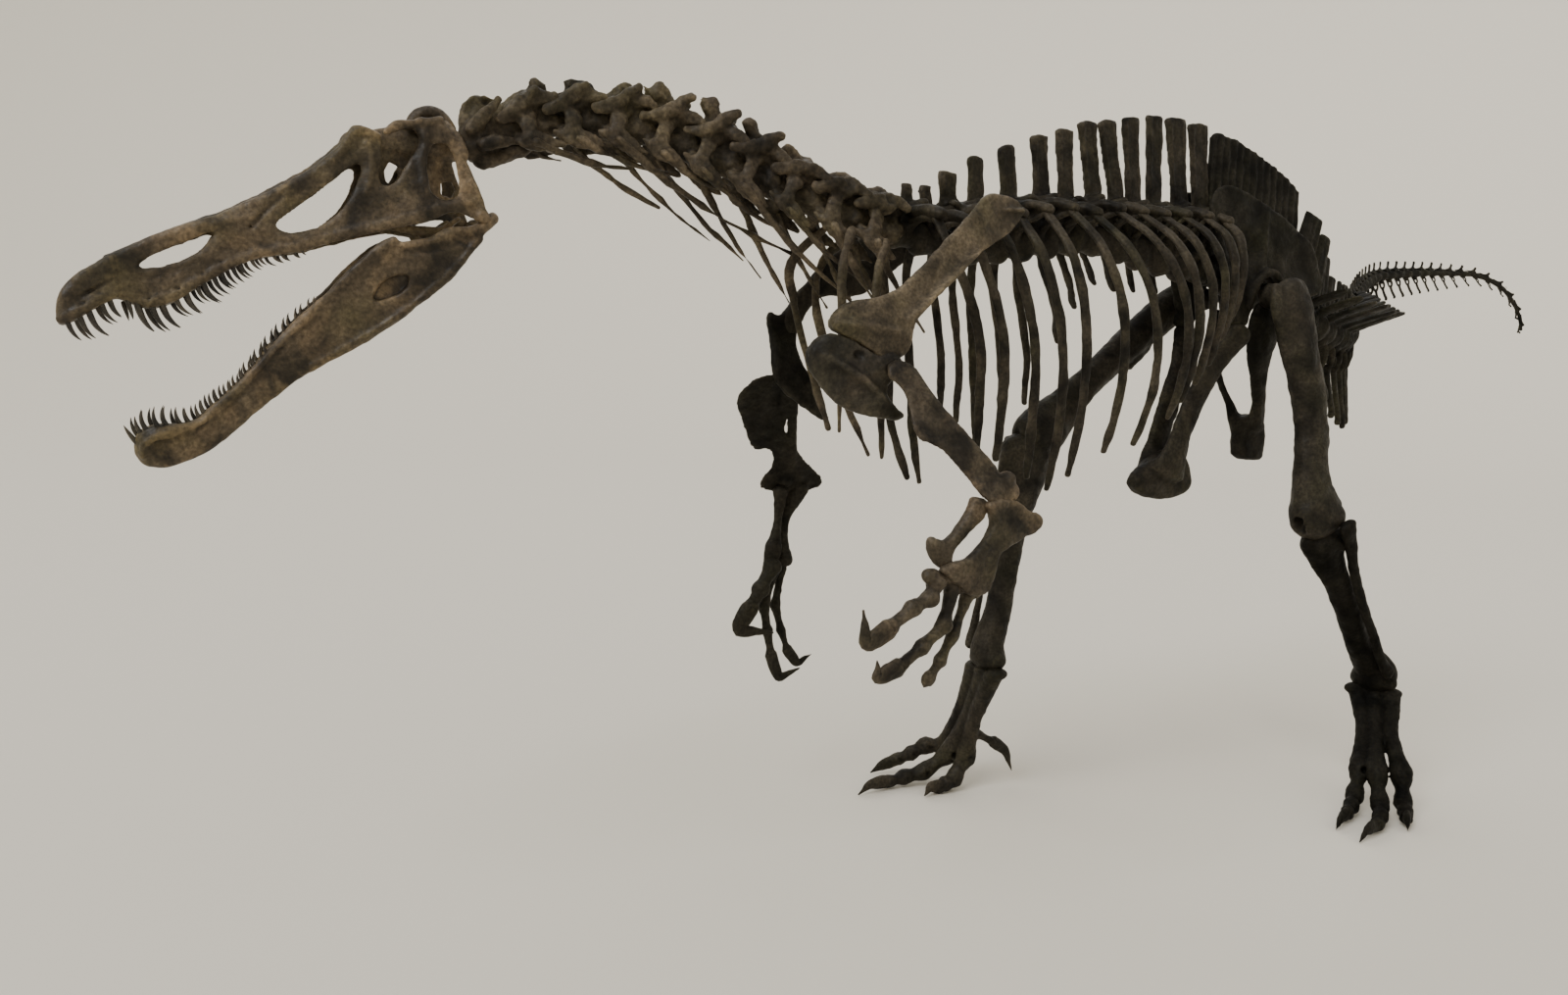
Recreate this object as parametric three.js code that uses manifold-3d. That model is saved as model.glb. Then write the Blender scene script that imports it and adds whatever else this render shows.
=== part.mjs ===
// A mounted skeleton of a long-snouted fish-eating dinosaur, walking, with its jaws open.
// Millimetres, +Z up. The head points to -X, +Y is the animal's right side, Z is height above the
// floor. Shapes are first placed from the middle of the hips, and the whole group is moved at the end
// so that its origin is the middle of its footprint.
import * as THREE from 'three';
import { mergeVertices } from 'three/addons/utils/BufferGeometryUtils.js';
import Module from 'manifold-3d';

const wasm = await Module();
wasm.setup();

// Backbone: places of the vertebra centres, from the head to the tip of the tail
const NECK_ROUTE = [
  [-3262, 350, 2484], [-3140, 342, 2545], [-3027, 325, 2584], [-2872, 292, 2608], [-2715, 250, 2603],
  [-2557, 200, 2564], [-2400, 140, 2507], [-2237, 85, 2442], [-2066, 35, 2381], [-1845, 0, 2325],
];
const BACK_ROUTE = [
  [-1845, 0, 2325], [-1700, 0, 2300], [-1474, 0, 2293], [-1187, 0, 2340], [-891, 0, 2380],
  [-600, 0, 2352], [-233, 0, 2312],
];
const TAIL_ROUTE = [
  [390, 0, 2170], [660, 30, 2110], [1110, 200, 2105], [1765, 620, 2330], [2405, 925, 2545],
  [2940, 1000, 2625], [3358, 1002, 2655], [3600, 950, 2638], [3770, 880, 2560], [3866, 828, 2420],
  [3901, 811, 2299],
];
const NECK_COUNT = 10;
const BACK_COUNT = 13;
// Height of the side processes over the middle of a back vertebra
const WING_HEIGHT = 152;
const SACRAL_REACH = 84;
const SACRAL_CREST_THICKNESS = 48;
const SACRAL_CREST_FRONT = -222;
const SACRAL_CREST_BACK = 384;
const TAIL_SECTIONS = 13;
const TAIL_PER_SECTION = 3;
const TAIL_LAST_WING = 9;
const TAIL_LAST_BLADE = 27;
const DISC_GAP = 9;
const TAIL_DISC_GAP = 18;

// Height of the spine tops along the body: [x, z]
const CREST = [
  [-1900, 2450], [-1700, 2500], [-1590, 2555], [-1476, 2636], [-1170, 2750], [-926, 2840],
  [-692, 2890], [-433, 2920], [-233, 2893], [-45, 2877], [75, 2845], [212, 2797], [390, 2705],
];

// Ribs, one number for each back vertebra: largest distance from the middle plane, how far the rib
// sweeps back where it is widest and at its end, and the height of its free end
const RIB_REACH = [215, 247, 277, 304, 326, 355, 374, 381, 375, 360, 335, 300, 245];
const RIB_SWEEP = [200, 165, 160, 150, 115, 155, 185, 210, 160, 125, 95, 10, -26];
const RIB_END_SWEEP = [235, 180, 184, 140, 104, 132, 146, 195, 150, 120, 90, 20, -40];
const RIB_END_HEIGHT = {
  L: [1561, 1527, 1460, 1417, 1473, 1559, 1589, 1690, 1760, 1830, 1910, 2010, 2090],
  R: [1600, 1560, 1490, 1470, 1500, 1590, 1730, 1992, 2120, 2145, 2130, 2130, 2130],
};

// Neck ribs: length in mm and slope below the neck line in degrees
const NECK_RIBS = [
  [120, 12], [150, 16], [170, 22], [240, 30], [380, 38], [430, 40], [430, 42], [420, 38], [250, 36],
  [290, 40],
];

// Tail profiles by vertebra number: [number, mm]
const TAIL_CENTRUM_RADIUS = [[0, 76], [6, 66], [14, 50], [24, 32], [39, 10]];
const TAIL_SPINE_TOP = [
  [0, 505], [1, 444], [2, 358], [3, 262], [4, 215], [8, 165], [14, 120], [22, 85], [30, 45], [39, 14],
];
// The first tail spines are broad plates that carry the edge of the sail on
const SAIL_TAIL_SPINES = 4;
const SAIL_TAIL_DEEP = 43;
const TAIL_WING_SPAN = [[0, 235], [5, 250], [9, 190], [13, 90], [16, 0], [39, 0]];
const TAIL_CHEVRON_DROP = [
  [0, 0], [1, 340], [6, 410], [10, 300], [15, 180], [22, 120], [29, 75], [34, 0], [39, 0],
];

// Limb joints on the left (L) and right (R)
const ACETABULUM = [20, 165, 2215];
const HIP_WIDTH = 262;
const KNEE = { L: [225, -340, 1215], R: [-835, 340, 1560] };
const ANKLE = { L: [800, -285, 455], R: [-985, 360, 580] };
const TOE_ROOT = { L: [530, -505, 112], R: [-945, 565, 125] };
const SHOULDER_SHIFT = { L: 0, R: 100 };
const SHOULDER_LEAN = { L: 0.17, R: 0.05 };
const SHOULDER_CURL = { L: 0.42, R: 0.95 };
const HUMERUS_HEAD = { L: [-2052, -390, 1830], R: [-1985, 393, 1815] };
const HUMERUS_CREST = { L: [-52, 0, -42], R: [-120, 20, -10] };
const ELBOW = { L: [-1740, -552, 1462], R: [-1809, 690, 1377] };
const ULNA_ROUTE = {
  L: [[-1592, -572, 1392], [-1668, -566, 1346], [-1795, -558, 1262], [-1864, -552, 1186]],
  R: [[-1772, 712, 1350], [-1786, 710, 1290], [-1806, 706, 1180], [-1816, 702, 1080]],
};
const RADIUS_ROUTE = {
  L: [[-1818, -566, 1412], [-1900, -560, 1362], [-1968, -556, 1300], [-1938, -552, 1216]],
  R: [[-1862, 676, 1318], [-1866, 676, 1240], [-1868, 678, 1150], [-1866, 680, 1078]],
};
const WRIST = { L: [-1945, -552, 1185], R: [-1835, 690, 1065] };

// Skull and jaw: hinge place, pitch and outlines as [forward of the hinge, above the hinge line]
const JAW_HINGE = [-3187, 350, 2261];
const SKULL_PITCH = 17;
const JAW_PITCH = 36;
const SKULL_OUTLINE = [
  [1240, 15], [1205, 72], [1085, 115], [935, 147], [765, 176], [610, 210], [535, 232],
  [455, 270], [380, 308], [330, 350], [308, 360], [270, 335], [155, 340], [135, 360],
  [75, 380], [45, 340], [45, 300], [15, 260], [20, 120], [5, 55], [-20, 0], [20, -25],
  [85, 40], [160, 50], [340, 50], [420, 38], [500, 25], [725, 28], [800, 10], [870, -8], [955, -35],
  [1000, -40], [1030, -25], [1070, 0], [1135, -5], [1180, -22], [1245, -38],
];
const SKULL_WINDOWS = {
  nostril: [[1025, 75], [945, 115], [875, 131], [795, 136], [835, 100], [880, 70], [960, 60]],
  cheek: [
    [630, 95], [605, 120], [560, 150], [475, 190], [375, 230], [390, 195], [430, 150], [500, 80], [555, 80],
  ],
  slit: [[325, 245], [305, 240], [320, 205], [365, 180]],
  orbit: [[262, 280], [215, 325], [145, 312], [135, 280], [170, 230], [222, 222]],
  temple: [[135, 215], [95, 262], [35, 255], [40, 170], [75, 95], [125, 100]],
};
// Half width of the skull at its lower edge, by distance from the hinge
const SKULL_HALF_WIDTH = [
  [-25, 118], [60, 134], [250, 118], [420, 84], [620, 62], [820, 46], [1000, 32], [1060, 36], [1140, 54],
  [1215, 46], [1255, 18],
];
const SKULL_ROOF_HEIGHT = 360;
const SKULL_ROOF_NARROWING = 0.42;
const SKULL_WALL = 15;
const SKULL_CAVITY = [
  [60, 60], [60, 250], [130, 318], [300, 320], [440, 240], [600, 180], [980, 95], [980, 15], [640, 60],
  [600, 20], [420, -20], [160, -20],
];
const BRAINCASE_HALF_WIDTH = 36;
const BRAINCASE_OUTLINE = [[40, 140], [40, 325], [290, 325], [290, 215]];
const JAW_OUTLINE = [
  [-50, -4], [-20, -24], [0, -34], [30, -30], [62, 15], [95, 38], [185, 70], [265, 105], [330, 110],
  [420, 100], [545, 80], [670, 64], [850, 34], [1005, -5], [1085, -15], [1150, 0], [1232, -2],
  [1262, -30], [1260, -60], [1230, -95], [1175, -115], [1095, -120], [1015, -110], [920, -90], [730, -90],
  [530, -105], [415, -105], [210, -90], [120, -66], [20, -70], [-40, -38],
];
const JAW_WINDOW = [[445, -20], [395, 5], [340, 0], [310, -20], [370, -40], [425, -40]];
const JAW_HALF_WIDTH = [
  [-40, 112], [60, 122], [250, 112], [420, 84], [620, 62], [820, 46], [1000, 34], [1080, 38], [1170, 52],
  [1225, 42], [1262, 16],
];
const JAW_WALL = 15;
const JAW_JOIN = 1050;
const JAW_CAVITY = [
  [-90, -150], [-90, 150], [250, 170], [450, 150], [620, 120], [JAW_JOIN, 60], [JAW_JOIN, -150],
  [620, -160], [250, -160],
];
// Heights of the tooth-bearing edges, by distance from the hinge
const UPPER_EDGE = [
  [560, 26], [725, 28], [800, 10], [870, -8], [955, -35], [1000, -40], [1030, -25], [1070, 0],
];
const LOWER_EDGE = [[670, 62], [850, 32], [1005, -7], [1085, -15]];

// Fingers: joints from the wrist outward, then the claw's bend and tip
const FINGERS = {
  L: [
    {
      joints: [[-2005, -556, 1140], [-2072, -560, 1118], [-2165, -562, 1020]],
      bend: [-2255, -565, 968], tip: [-2278, -566, 1078], size: 27,
    },
    {
      joints: [[-1970, -548, 1120], [-1972, -546, 1030], [-2065, -548, 928], [-2128, -550, 890]],
      bend: [-2212, -552, 858], tip: [-2212, -553, 918], size: 22,
    },
    {
      joints: [[-1925, -540, 1105], [-1932, -532, 962], [-1962, -530, 880], [-1992, -530, 842]],
      bend: [-2010, -530, 825], tip: [-2026, -530, 806], size: 15,
    },
  ],
  R: [
    {
      joints: [[-1895, 672, 1015], [-1965, 652, 915], [-2040, 642, 850]],
      bend: [-2040, 640, 745], tip: [-1892, 640, 775], size: 27,
    },
    {
      joints: [[-1858, 688, 1005], [-1905, 682, 850], [-1892, 680, 750], [-1878, 680, 655]],
      bend: [-1850, 682, 560], tip: [-1748, 684, 582], size: 22,
    },
    {
      joints: [[-1818, 705, 1005], [-1825, 716, 812], [-1795, 720, 730], [-1762, 722, 655]],
      bend: [-1722, 724, 588], tip: [-1650, 726, 615], size: 20,
    },
  ],
};

// Toes: claw tips on the floor, from the inner toe to the outer one
const TOE_TIPS = {
  L: [[105, -606, 6], [76, -732, 6], [375, -750, 6]],
  R: [[-1205, 468, 6], [-1460, 604, 6], [-1246, 822, 6]],
};
// Joints along a toe: [share of its length, height of the joint's middle]
const TOE_JOINTS = [[0.34, 36], [0.66, 31]];
const FIRST_TOE_TIP = { L: [690, -300, 95], R: [-720, 450, 75] };
const TOE_SPACING = { ankle: 56, root: 84 };
const TOE_SIZES = [40, 46, 42, 37];
const FLOOR_CUT = 400;

// Small helpers
const vec = (p) => new THREE.Vector3(...p);
const SIDES = ['L', 'R'];
const SIDE_SIGN = { L: -1, R: 1 };
const SIDE_NAME = { L: 'left', R: 'right' };
const mirrored = (side, p) => [p[0], p[1] * SIDE_SIGN[side], p[2]];
const mix = (a, b, t) => a.map((value, k) => value + (b[k] - value) * t);
const plus = (a, b) => a.map((value, k) => value + b[k]);

function atTable(table, at) {
  const next = table.findIndex(([key]) => key >= at);
  if (next === 0) return table[0][1];
  if (next < 0) return table[table.length - 1][1];
  const [x0, y0] = table[next - 1];
  const [x1, y1] = table[next];
  return y0 + ((y1 - y0) * (at - x0)) / (x1 - x0);
}

function curveThrough(points) {
  return new THREE.CatmullRomCurve3(points.map(vec), false, 'centripetal');
}

// A closed geometry as a solid, turned outside out where needed
function solidOf(geometry) {
  geometry.deleteAttribute('normal');
  geometry.deleteAttribute('uv');
  const merged = mergeVertices(geometry, 1e-3);
  const place = merged.attributes.position;
  const index = Array.from(merged.index.array);
  const [a, b, c] = [new THREE.Vector3(), new THREE.Vector3(), new THREE.Vector3()];
  let volume = 0;
  for (let k = 0; k < index.length; k += 3) {
    a.fromBufferAttribute(place, index[k]);
    b.fromBufferAttribute(place, index[k + 1]);
    c.fromBufferAttribute(place, index[k + 2]);
    volume += a.dot(b.cross(c));
  }
  if (volume < 0) index.reverse();
  return new wasm.Manifold(new wasm.Mesh({
    numProp: 3,
    vertProperties: new Float32Array(place.array),
    triVerts: new Uint32Array(index),
  }));
}

const joined = (solids) => solids.reduce((whole, next) => whole.add(next));

// A skin over rings of points that all hold the same number of points
function skinOver(rings) {
  const sides = rings[0].length;
  const last = (rings.length - 1) * sides;
  const index = [];
  for (let r = 0; r < rings.length - 1; r += 1) {
    for (let k = 0; k < sides; k += 1) {
      const [a, b] = [r * sides + k, r * sides + ((k + 1) % sides)];
      index.push(a, b, b + sides, a, b + sides, a + sides);
    }
  }
  for (let k = 1; k < sides - 1; k += 1) {
    index.push(0, k + 1, k, last, last + k, last + k + 1);
  }
  const geometry = new THREE.BufferGeometry();
  const numbers = rings.flat().flatMap((p) => p.toArray());
  geometry.setAttribute('position', new THREE.Float32BufferAttribute(numbers, 3));
  geometry.setIndex(index);
  return solidOf(geometry);
}

// A bone along a path; each size is [half width across, half height towards up]
function shaft(path, sizes, up = [0, 0, 1], sides = 6) {
  const grow = sides === 4 ? Math.SQRT2 : 1;
  const upward = vec(up);
  const points = path.map(vec);
  const rings = points.map((centre, i) => {
    const before = points[Math.max(i - 1, 0)];
    const after = points[Math.min(i + 1, points.length - 1)];
    const along = after.clone().sub(before).normalize();
    const across = along.clone().cross(upward).normalize();
    const rise = across.clone().cross(along).normalize();
    const [width, height] = sizes[i];
    return Array.from({ length: sides }, (_, k) => {
      const angle = ((k + 0.5) / sides) * 2 * Math.PI - Math.PI / 2;
      return centre.clone()
        .addScaledVector(across, grow * width * Math.cos(angle))
        .addScaledVector(rise, grow * height * Math.sin(angle));
    });
  });
  return skinOver(rings);
}

// A flat plate from an outline of [u, v] points; place turns (u, v, depth 0..1) into a position
function plate(outline, place, windows = []) {
  const shape = new THREE.Shape(outline.map(([u, v]) => new THREE.Vector2(u, v)));
  shape.holes = windows.map((hole) => new THREE.Path(hole.map(([u, v]) => new THREE.Vector2(u, v))));
  const geometry = new THREE.ExtrudeGeometry(shape, { depth: 1, bevelEnabled: false });
  const position = geometry.attributes.position;
  for (let k = 0; k < position.count; k += 1) {
    position.setXYZ(k, ...place(position.getX(k), position.getY(k), position.getZ(k)));
  }
  return solidOf(geometry);
}

// The nodes, in order
const skeleton = new THREE.Group();
const COLOURS = {
  headBone: { color: 0x6f604a, roughness: 0.62, metalness: 0 },
  bodyBone: { color: 0x4a4234, roughness: 0.66, metalness: 0 },
  darkBone: { color: 0x35302a, roughness: 0.68, metalness: 0 },
};

function addNode(name, solid, finish, matrix) {
  const mesh = solid.getMesh();
  const geometry = new THREE.BufferGeometry();
  geometry.setAttribute('position', new THREE.Float32BufferAttribute(mesh.vertProperties, 3));
  geometry.setIndex(Array.from(mesh.triVerts));
  const node = new THREE.Mesh(geometry, new THREE.MeshStandardMaterial(COLOURS[finish]));
  node.name = name;
  if (matrix) node.applyMatrix4(matrix);
  skeleton.add(node);
}

// Skull and jaw: a side outline swept across the head, hollowed between its two side walls
function headPlace(pitch, halfWidthAt, side = 0) {
  const tilt = (pitch * Math.PI) / 180;
  const forward = [-Math.cos(tilt), 0, -Math.sin(tilt)];
  const above = [-Math.sin(tilt), 0, Math.cos(tilt)];
  return (s, h, depth) => {
    const half = halfWidthAt(s, h);
    const across = side === 0 ? half * (2 * depth - 1) : side * (half - 4 - 10 * depth);
    return plus(JAW_HINGE, [forward[0] * s + above[0] * h, across, forward[2] * s + above[2] * h]);
  };
}

function skullHalfWidth(s, h) {
  const rise = Math.max(0, h) / SKULL_ROOF_HEIGHT;
  return atTable(SKULL_HALF_WIDTH, s) * (1 - SKULL_ROOF_NARROWING * rise);
}

const jawHalfWidth = (s) => atTable(JAW_HALF_WIDTH, s);

// A row of teeth on both sides of the mouth, each a thin leaning pyramid
function teeth(row, halfWidthAt, pitch, inset) {
  const place = headPlace(pitch, halfWidthAt);
  return [0, 1].flatMap((side) => row.map(([s, h, length, lean]) => {
    const radius = 5 + Math.abs(length) * 0.1;
    const inner = inset / halfWidthAt(s, h) / 2;
    const across = side === 0 ? inner : 1 - inner;
    const depth = radius / halfWidthAt(s, h) / 2;
    const root = h - 6 * Math.sign(length);
    const corners = [
      place(s - radius, root, across), place(s + radius, root, across - depth),
      place(s + radius, root, across + depth), place(s + lean, h + length, across),
    ];
    const geometry = new THREE.BufferGeometry();
    geometry.setAttribute('position', new THREE.Float32BufferAttribute(corners.flat(), 3));
    geometry.setIndex([0, 1, 2, 0, 3, 1, 1, 3, 2, 2, 3, 0]);
    return solidOf(geometry);
  }));
}

// Tooth rows: [forward of the hinge, height of the socket, length (down is negative), lean backward]
function upperTeeth() {
  const front = [[1228, -36, 48, -12], [1196, -27, 58, -18], [1162, -14, 64, -20], [1120, -3, 46, -16]];
  const back = Array.from({ length: 7 }, (_, k) => {
    const s = 1060 - k * 66;
    const swell = Math.max(0, 1 - Math.abs(k - 1.7) / 6.3);
    return [s, atTable(UPPER_EDGE, s), 20 + 62 * swell, -10 - 14 * swell];
  });
  return [...front, ...back].map(([s, h, length, lean]) => [s, h, -length, lean]);
}

function lowerTeeth() {
  const front = Array.from({ length: 3 }, (_, k) => [1236 - k * 54, -4, 46 - 5 * k, -6]);
  const back = Array.from({ length: 6 }, (_, k) => {
    const s = 1060 - k * 68;
    return [s, atTable(LOWER_EDGE, s), 34 - k, -8];
  });
  return [...front, ...back];
}

function makeSkull() {
  const whole = plate(SKULL_OUTLINE, headPlace(SKULL_PITCH, skullHalfWidth), Object.values(SKULL_WINDOWS));
  const inside = (s, h) => Math.max(6, skullHalfWidth(s, h) - SKULL_WALL);
  const cavity = plate(SKULL_CAVITY, headPlace(SKULL_PITCH, inside));
  const braincase = plate(BRAINCASE_OUTLINE, headPlace(SKULL_PITCH, () => BRAINCASE_HALF_WIDTH));
  const bone = whole.subtract(cavity).add(braincase);
  return joined([bone, ...teeth(upperTeeth(), skullHalfWidth, SKULL_PITCH, 9)]);
}

function makeJaw() {
  const whole = plate(JAW_OUTLINE, headPlace(JAW_PITCH, jawHalfWidth), [JAW_WINDOW]);
  const inside = (s) => Math.max(4, jawHalfWidth(s) - JAW_WALL);
  const bone = whole.subtract(plate(JAW_CAVITY, headPlace(JAW_PITCH, inside)));
  return joined([bone, ...teeth(lowerTeeth(), jawHalfWidth, JAW_PITCH, 8)]);
}

// Vertebrae are made round their own centre: x runs to the tail, y to the right, z up
function vertebraFrame(curve, at) {
  const centre = curve.getPointAt(at);
  const back = curve.getTangentAt(at);
  const right = new THREE.Vector3(0, 0, 1).cross(back).normalize();
  const up = back.clone().cross(right);
  return new THREE.Matrix4().makeBasis(back, right, up).setPosition(centre);
}

function centrum(halfLength, end, sides) {
  return shaft([[-halfLength, 0, 0], [halfLength, 0, 0]], [end, end], [0, 0, 1], sides);
}

function neckVertebra(number, halfLength) {
  const size = 0.8 + 0.045 * number;
  const body = centrum(halfLength, [36 * size, 35 * size], 5);
  const [front, back] = [-halfLength * 0.88, halfLength * 0.84];
  const arms = [[front, -76], [-4, -38], [back, -74], [back, 74], [-4, 38], [front, 76]];
  const arch = plate(arms, (x, y, depth) => [x, y * size, (30 + depth * 44 + x * 0.28) * size]);
  const top = (128 + 3 * number) * size;
  const spine = shaft([[0, 0, 60], [14, 0, top]], [[15, 36], [9, 27]], [1, 0, 0], 4);
  const [ribLength, ribSlope] = NECK_RIBS[number - 1];
  const slope = (ribSlope * Math.PI) / 180;
  const ribs = [-1, 1].map((sign) => {
    const root = [-halfLength * 0.55, sign * 24 * size, -10];
    const knee = [-halfLength * 0.35, sign * 58 * size, -46 * size];
    const tip = plus(knee, [ribLength * Math.cos(slope), sign * 22, -ribLength * Math.sin(slope)]);
    return shaft([root, knee, tip], [[14, 13], [11, 12], [4, 5]], [0, 0, 1], 4);
  });
  return joined([body, arch, spine, ...ribs]);
}

// The last rib starts inside the hip blades, so it drops before it swings out
function ribPath(number, side, centreHeight) {
  const [reach, sweep, endSweep] = [RIB_REACH, RIB_SWEEP, RIB_END_SWEEP].map((row) => row[number - 1]);
  const drop = RIB_END_HEIGHT[side][number - 1] - centreHeight;
  const bend = Math.max(-170, drop * 0.55);
  const top = number === BACK_COUNT
    ? [[0, 70, WING_HEIGHT], [-12, 80, -50]]
    : [[0, 110, 140], [sweep * 0.3, 95 + (reach - 95) * 0.76, 96]];
  return [...top, [sweep, reach, bend], [endSweep, reach * 0.8, drop]].map((p) => mirrored(side, p));
}

function backVertebra(number, frame, halfLength) {
  const centre = new THREE.Vector3().setFromMatrixPosition(frame);
  const girth = 46 + 1.1 * number;
  const body = centrum(halfLength, [girth, girth * 1.08], 5);
  const wing = number === BACK_COUNT ? 84 : 150 + 2 * number;
  const wingSize = [halfLength * 0.6, 15];
  const wings = shaft([[0, -wing, WING_HEIGHT], [0, wing, WING_HEIGHT]], [wingSize, wingSize], [0, 0, 1], 4);
  const top = atTable(CREST, centre.x) - centre.z;
  const deep = number < 4 ? 26 : 30 + number * 1.2;
  const spine = shaft(
    [[0, 0, 20], [0, 0, 160], [0, 0, top]],
    [[42, deep], [14, deep], [10, deep * 1.18]],
    [1, 0, 0],
    4,
  );
  const ribs = SIDES.map((side) => {
    return shaft(ribPath(number, side, centre.z), [[13, 20], [12, 22], [12, 22], [9, 15]], [1, 0, 0], 4);
  });
  // The spine and the ribs stand in the body's upright frame, so the vertebra's pitch is taken out
  const level = new THREE.Matrix4().extractRotation(frame).invert();
  const upright = [spine, ...ribs].map((solid) => solid.transform(level.elements));
  return joined([body, wings, ...upright]);
}

function makeSacrum() {
  const [front, back] = [BACK_ROUTE[BACK_ROUTE.length - 1], TAIL_ROUTE[0]];
  const path = [mix(front, back, 0.012), mix(front, back, 0.5), mix(front, back, 0.988)];
  const body = shaft(path, [[56, 62], [44, 52], [60, 62]]);
  const [first, last] = [mix(front, back, 0.06), mix(front, back, 0.94)];
  const corners = [first, last, plus(last, [0, 0, 70]), plus(first, [0, 0, 70])];
  const sides = plate(
    corners.map(([x, , z]) => [x, z]),
    (x, z, depth) => [x, (2 * depth - 1) * SACRAL_REACH, z],
  );
  const crest = CREST.filter(([x]) => x >= -240).map(([x, z]) => [
    Math.min(Math.max(x, SACRAL_CREST_FRONT + 7), SACRAL_CREST_BACK), z,
  ]);
  const fin = plate(
    [[SACRAL_CREST_FRONT, front[2] + 10], ...crest, [SACRAL_CREST_BACK, back[2] + 20]].reverse(),
    (x, z, depth) => [x, (depth - 0.5) * SACRAL_CREST_THICKNESS, z],
  );
  return joined([body, fin, sides]);
}

function makeIlium(side) {
  const outline = [
    [-298, 2640], [-185, 2655], [30, 2600], [230, 2510], [362, 2445], [400, 2350], [425, 2265], [330, 2215],
    [190, 2225], [150, 2150], [110, 2150], [80, 2255], [20, 2285], [-40, 2250], [-75, 2120], [-165, 2075],
    [-205, 2110], [-185, 2200], [-250, 2345], [-298, 2460], [-326, 2540],
  ];
  return plate(outline, (x, z, depth) => {
    const rise = (z - 2215) / 400;
    const across = 118 - 30 * rise + 54 * depth * (1 - 0.45 * Math.max(0, rise));
    return mirrored(side, [x, across, z]);
  });
}

function makePubes() {
  const shafts = SIDES.map((side) => shaft(
    [[-116, 140, 2046], [-196, 120, 1890], [-268, 102, 1745], [-330, 72, 1600], [-385, 30, 1455]]
      .map((p) => mirrored(side, p)),
    [[40, 62], [28, 54], [24, 48], [24, 50], [30, 92]],
    [1, 0, 0],
  ));
  const boot = plate(
    [
      [-585, 1425], [-560, 1378], [-480, 1345], [-360, 1335], [-250, 1355], [-205, 1400], [-215, 1450],
      [-330, 1520], [-450, 1510],
    ],
    (x, z, depth) => [x, (depth - 0.5) * 76, z],
  );
  return joined([...shafts, boot]);
}

function makeIschia() {
  const shafts = SIDES.map((side) => shaft(
    [[112, 138, 2126], [92, 116, 1985], [125, 72, 1800], [145, 30, 1640]].map((p) => mirrored(side, p)),
    side === 'L' ? [[30, 80], [26, 78], [20, 42], [26, 46]] : [[28, 60], [18, 32], [16, 22], [26, 40]],
    [1, 0, 0],
  ));
  const end = plate(
    [[65, 1665], [62, 1545], [90, 1515], [235, 1515], [262, 1545], [235, 1670]],
    (x, z, depth) => [x, (depth - 0.5) * 96, z],
  );
  return joined([...shafts, end]);
}

// Tail: three vertebrae with their chevrons to a section. Their centra are one waisted bar.
function tailCentra(numbers, frames, halfLength) {
  const path = [];
  const sizes = [];
  numbers.forEach((number, k) => {
    const radius = atTable(TAIL_CENTRUM_RADIUS, number);
    const [first, last] = [k === 0, k === numbers.length - 1];
    const start = -halfLength + (first ? TAIL_DISC_GAP / 2 : 0);
    const stations = [[start, 1], [0, 0.74]].concat(last ? [[halfLength - TAIL_DISC_GAP / 2, 1]] : []);
    for (const [x, share] of stations) {
      path.push(new THREE.Vector3(x, 0, 0).applyMatrix4(frames[k]).toArray());
      sizes.push([radius * share, radius * share]);
    }
  });
  return shaft(path, sizes, [0, 0, 1], numbers[0] < TAIL_LAST_WING ? 5 : 4);
}

// The spine and the chevron of one tail vertebra, as one upright blade through its centrum
function tailBlade(number, halfLength) {
  const radius = atTable(TAIL_CENTRUM_RADIUS, number);
  const top = atTable(TAIL_SPINE_TOP, number);
  const drop = Math.max(atTable(TAIL_CHEVRON_DROP, number), radius * 0.4);
  const deep = 6 + radius * 0.34;
  const topDeep = number < SAIL_TAIL_SPINES ? SAIL_TAIL_DEEP : deep * 0.8;
  const lean = number < SAIL_TAIL_SPINES ? 0 : halfLength * 0.3;
  return shaft([[lean + 18, 0, -drop], [lean, 0, top]], [[10, deep * 0.7], [6, topDeep]], [1, 0, 0], 4);
}

function tailWings(number, halfLength) {
  const radius = atTable(TAIL_CENTRUM_RADIUS, number);
  const span = atTable(TAIL_WING_SPAN, number);
  const [x, z] = [halfLength * 0.5, radius * 0.7];
  return shaft([[x, -span, z], [x, span, z]], [[28, 13], [26, 12]], [0, 0, 1], 4);
}

function makeTailSection(section, curve) {
  const count = TAIL_SECTIONS * TAIL_PER_SECTION;
  const halfLength = curve.getLength() / count / 2;
  const numbers = Array.from({ length: TAIL_PER_SECTION }, (_, k) => section * TAIL_PER_SECTION + k);
  const frames = numbers.map((number) => vertebraFrame(curve, (number + 0.5) / count));
  const pieces = [tailCentra(numbers, frames, halfLength)];
  numbers.forEach((number, k) => {
    const place = frames[k].elements;
    if (number < TAIL_LAST_BLADE) pieces.push(tailBlade(number, halfLength).transform(place));
    if (number < TAIL_LAST_WING) pieces.push(tailWings(number, halfLength).transform(place));
  });
  return joined(pieces);
}

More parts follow.
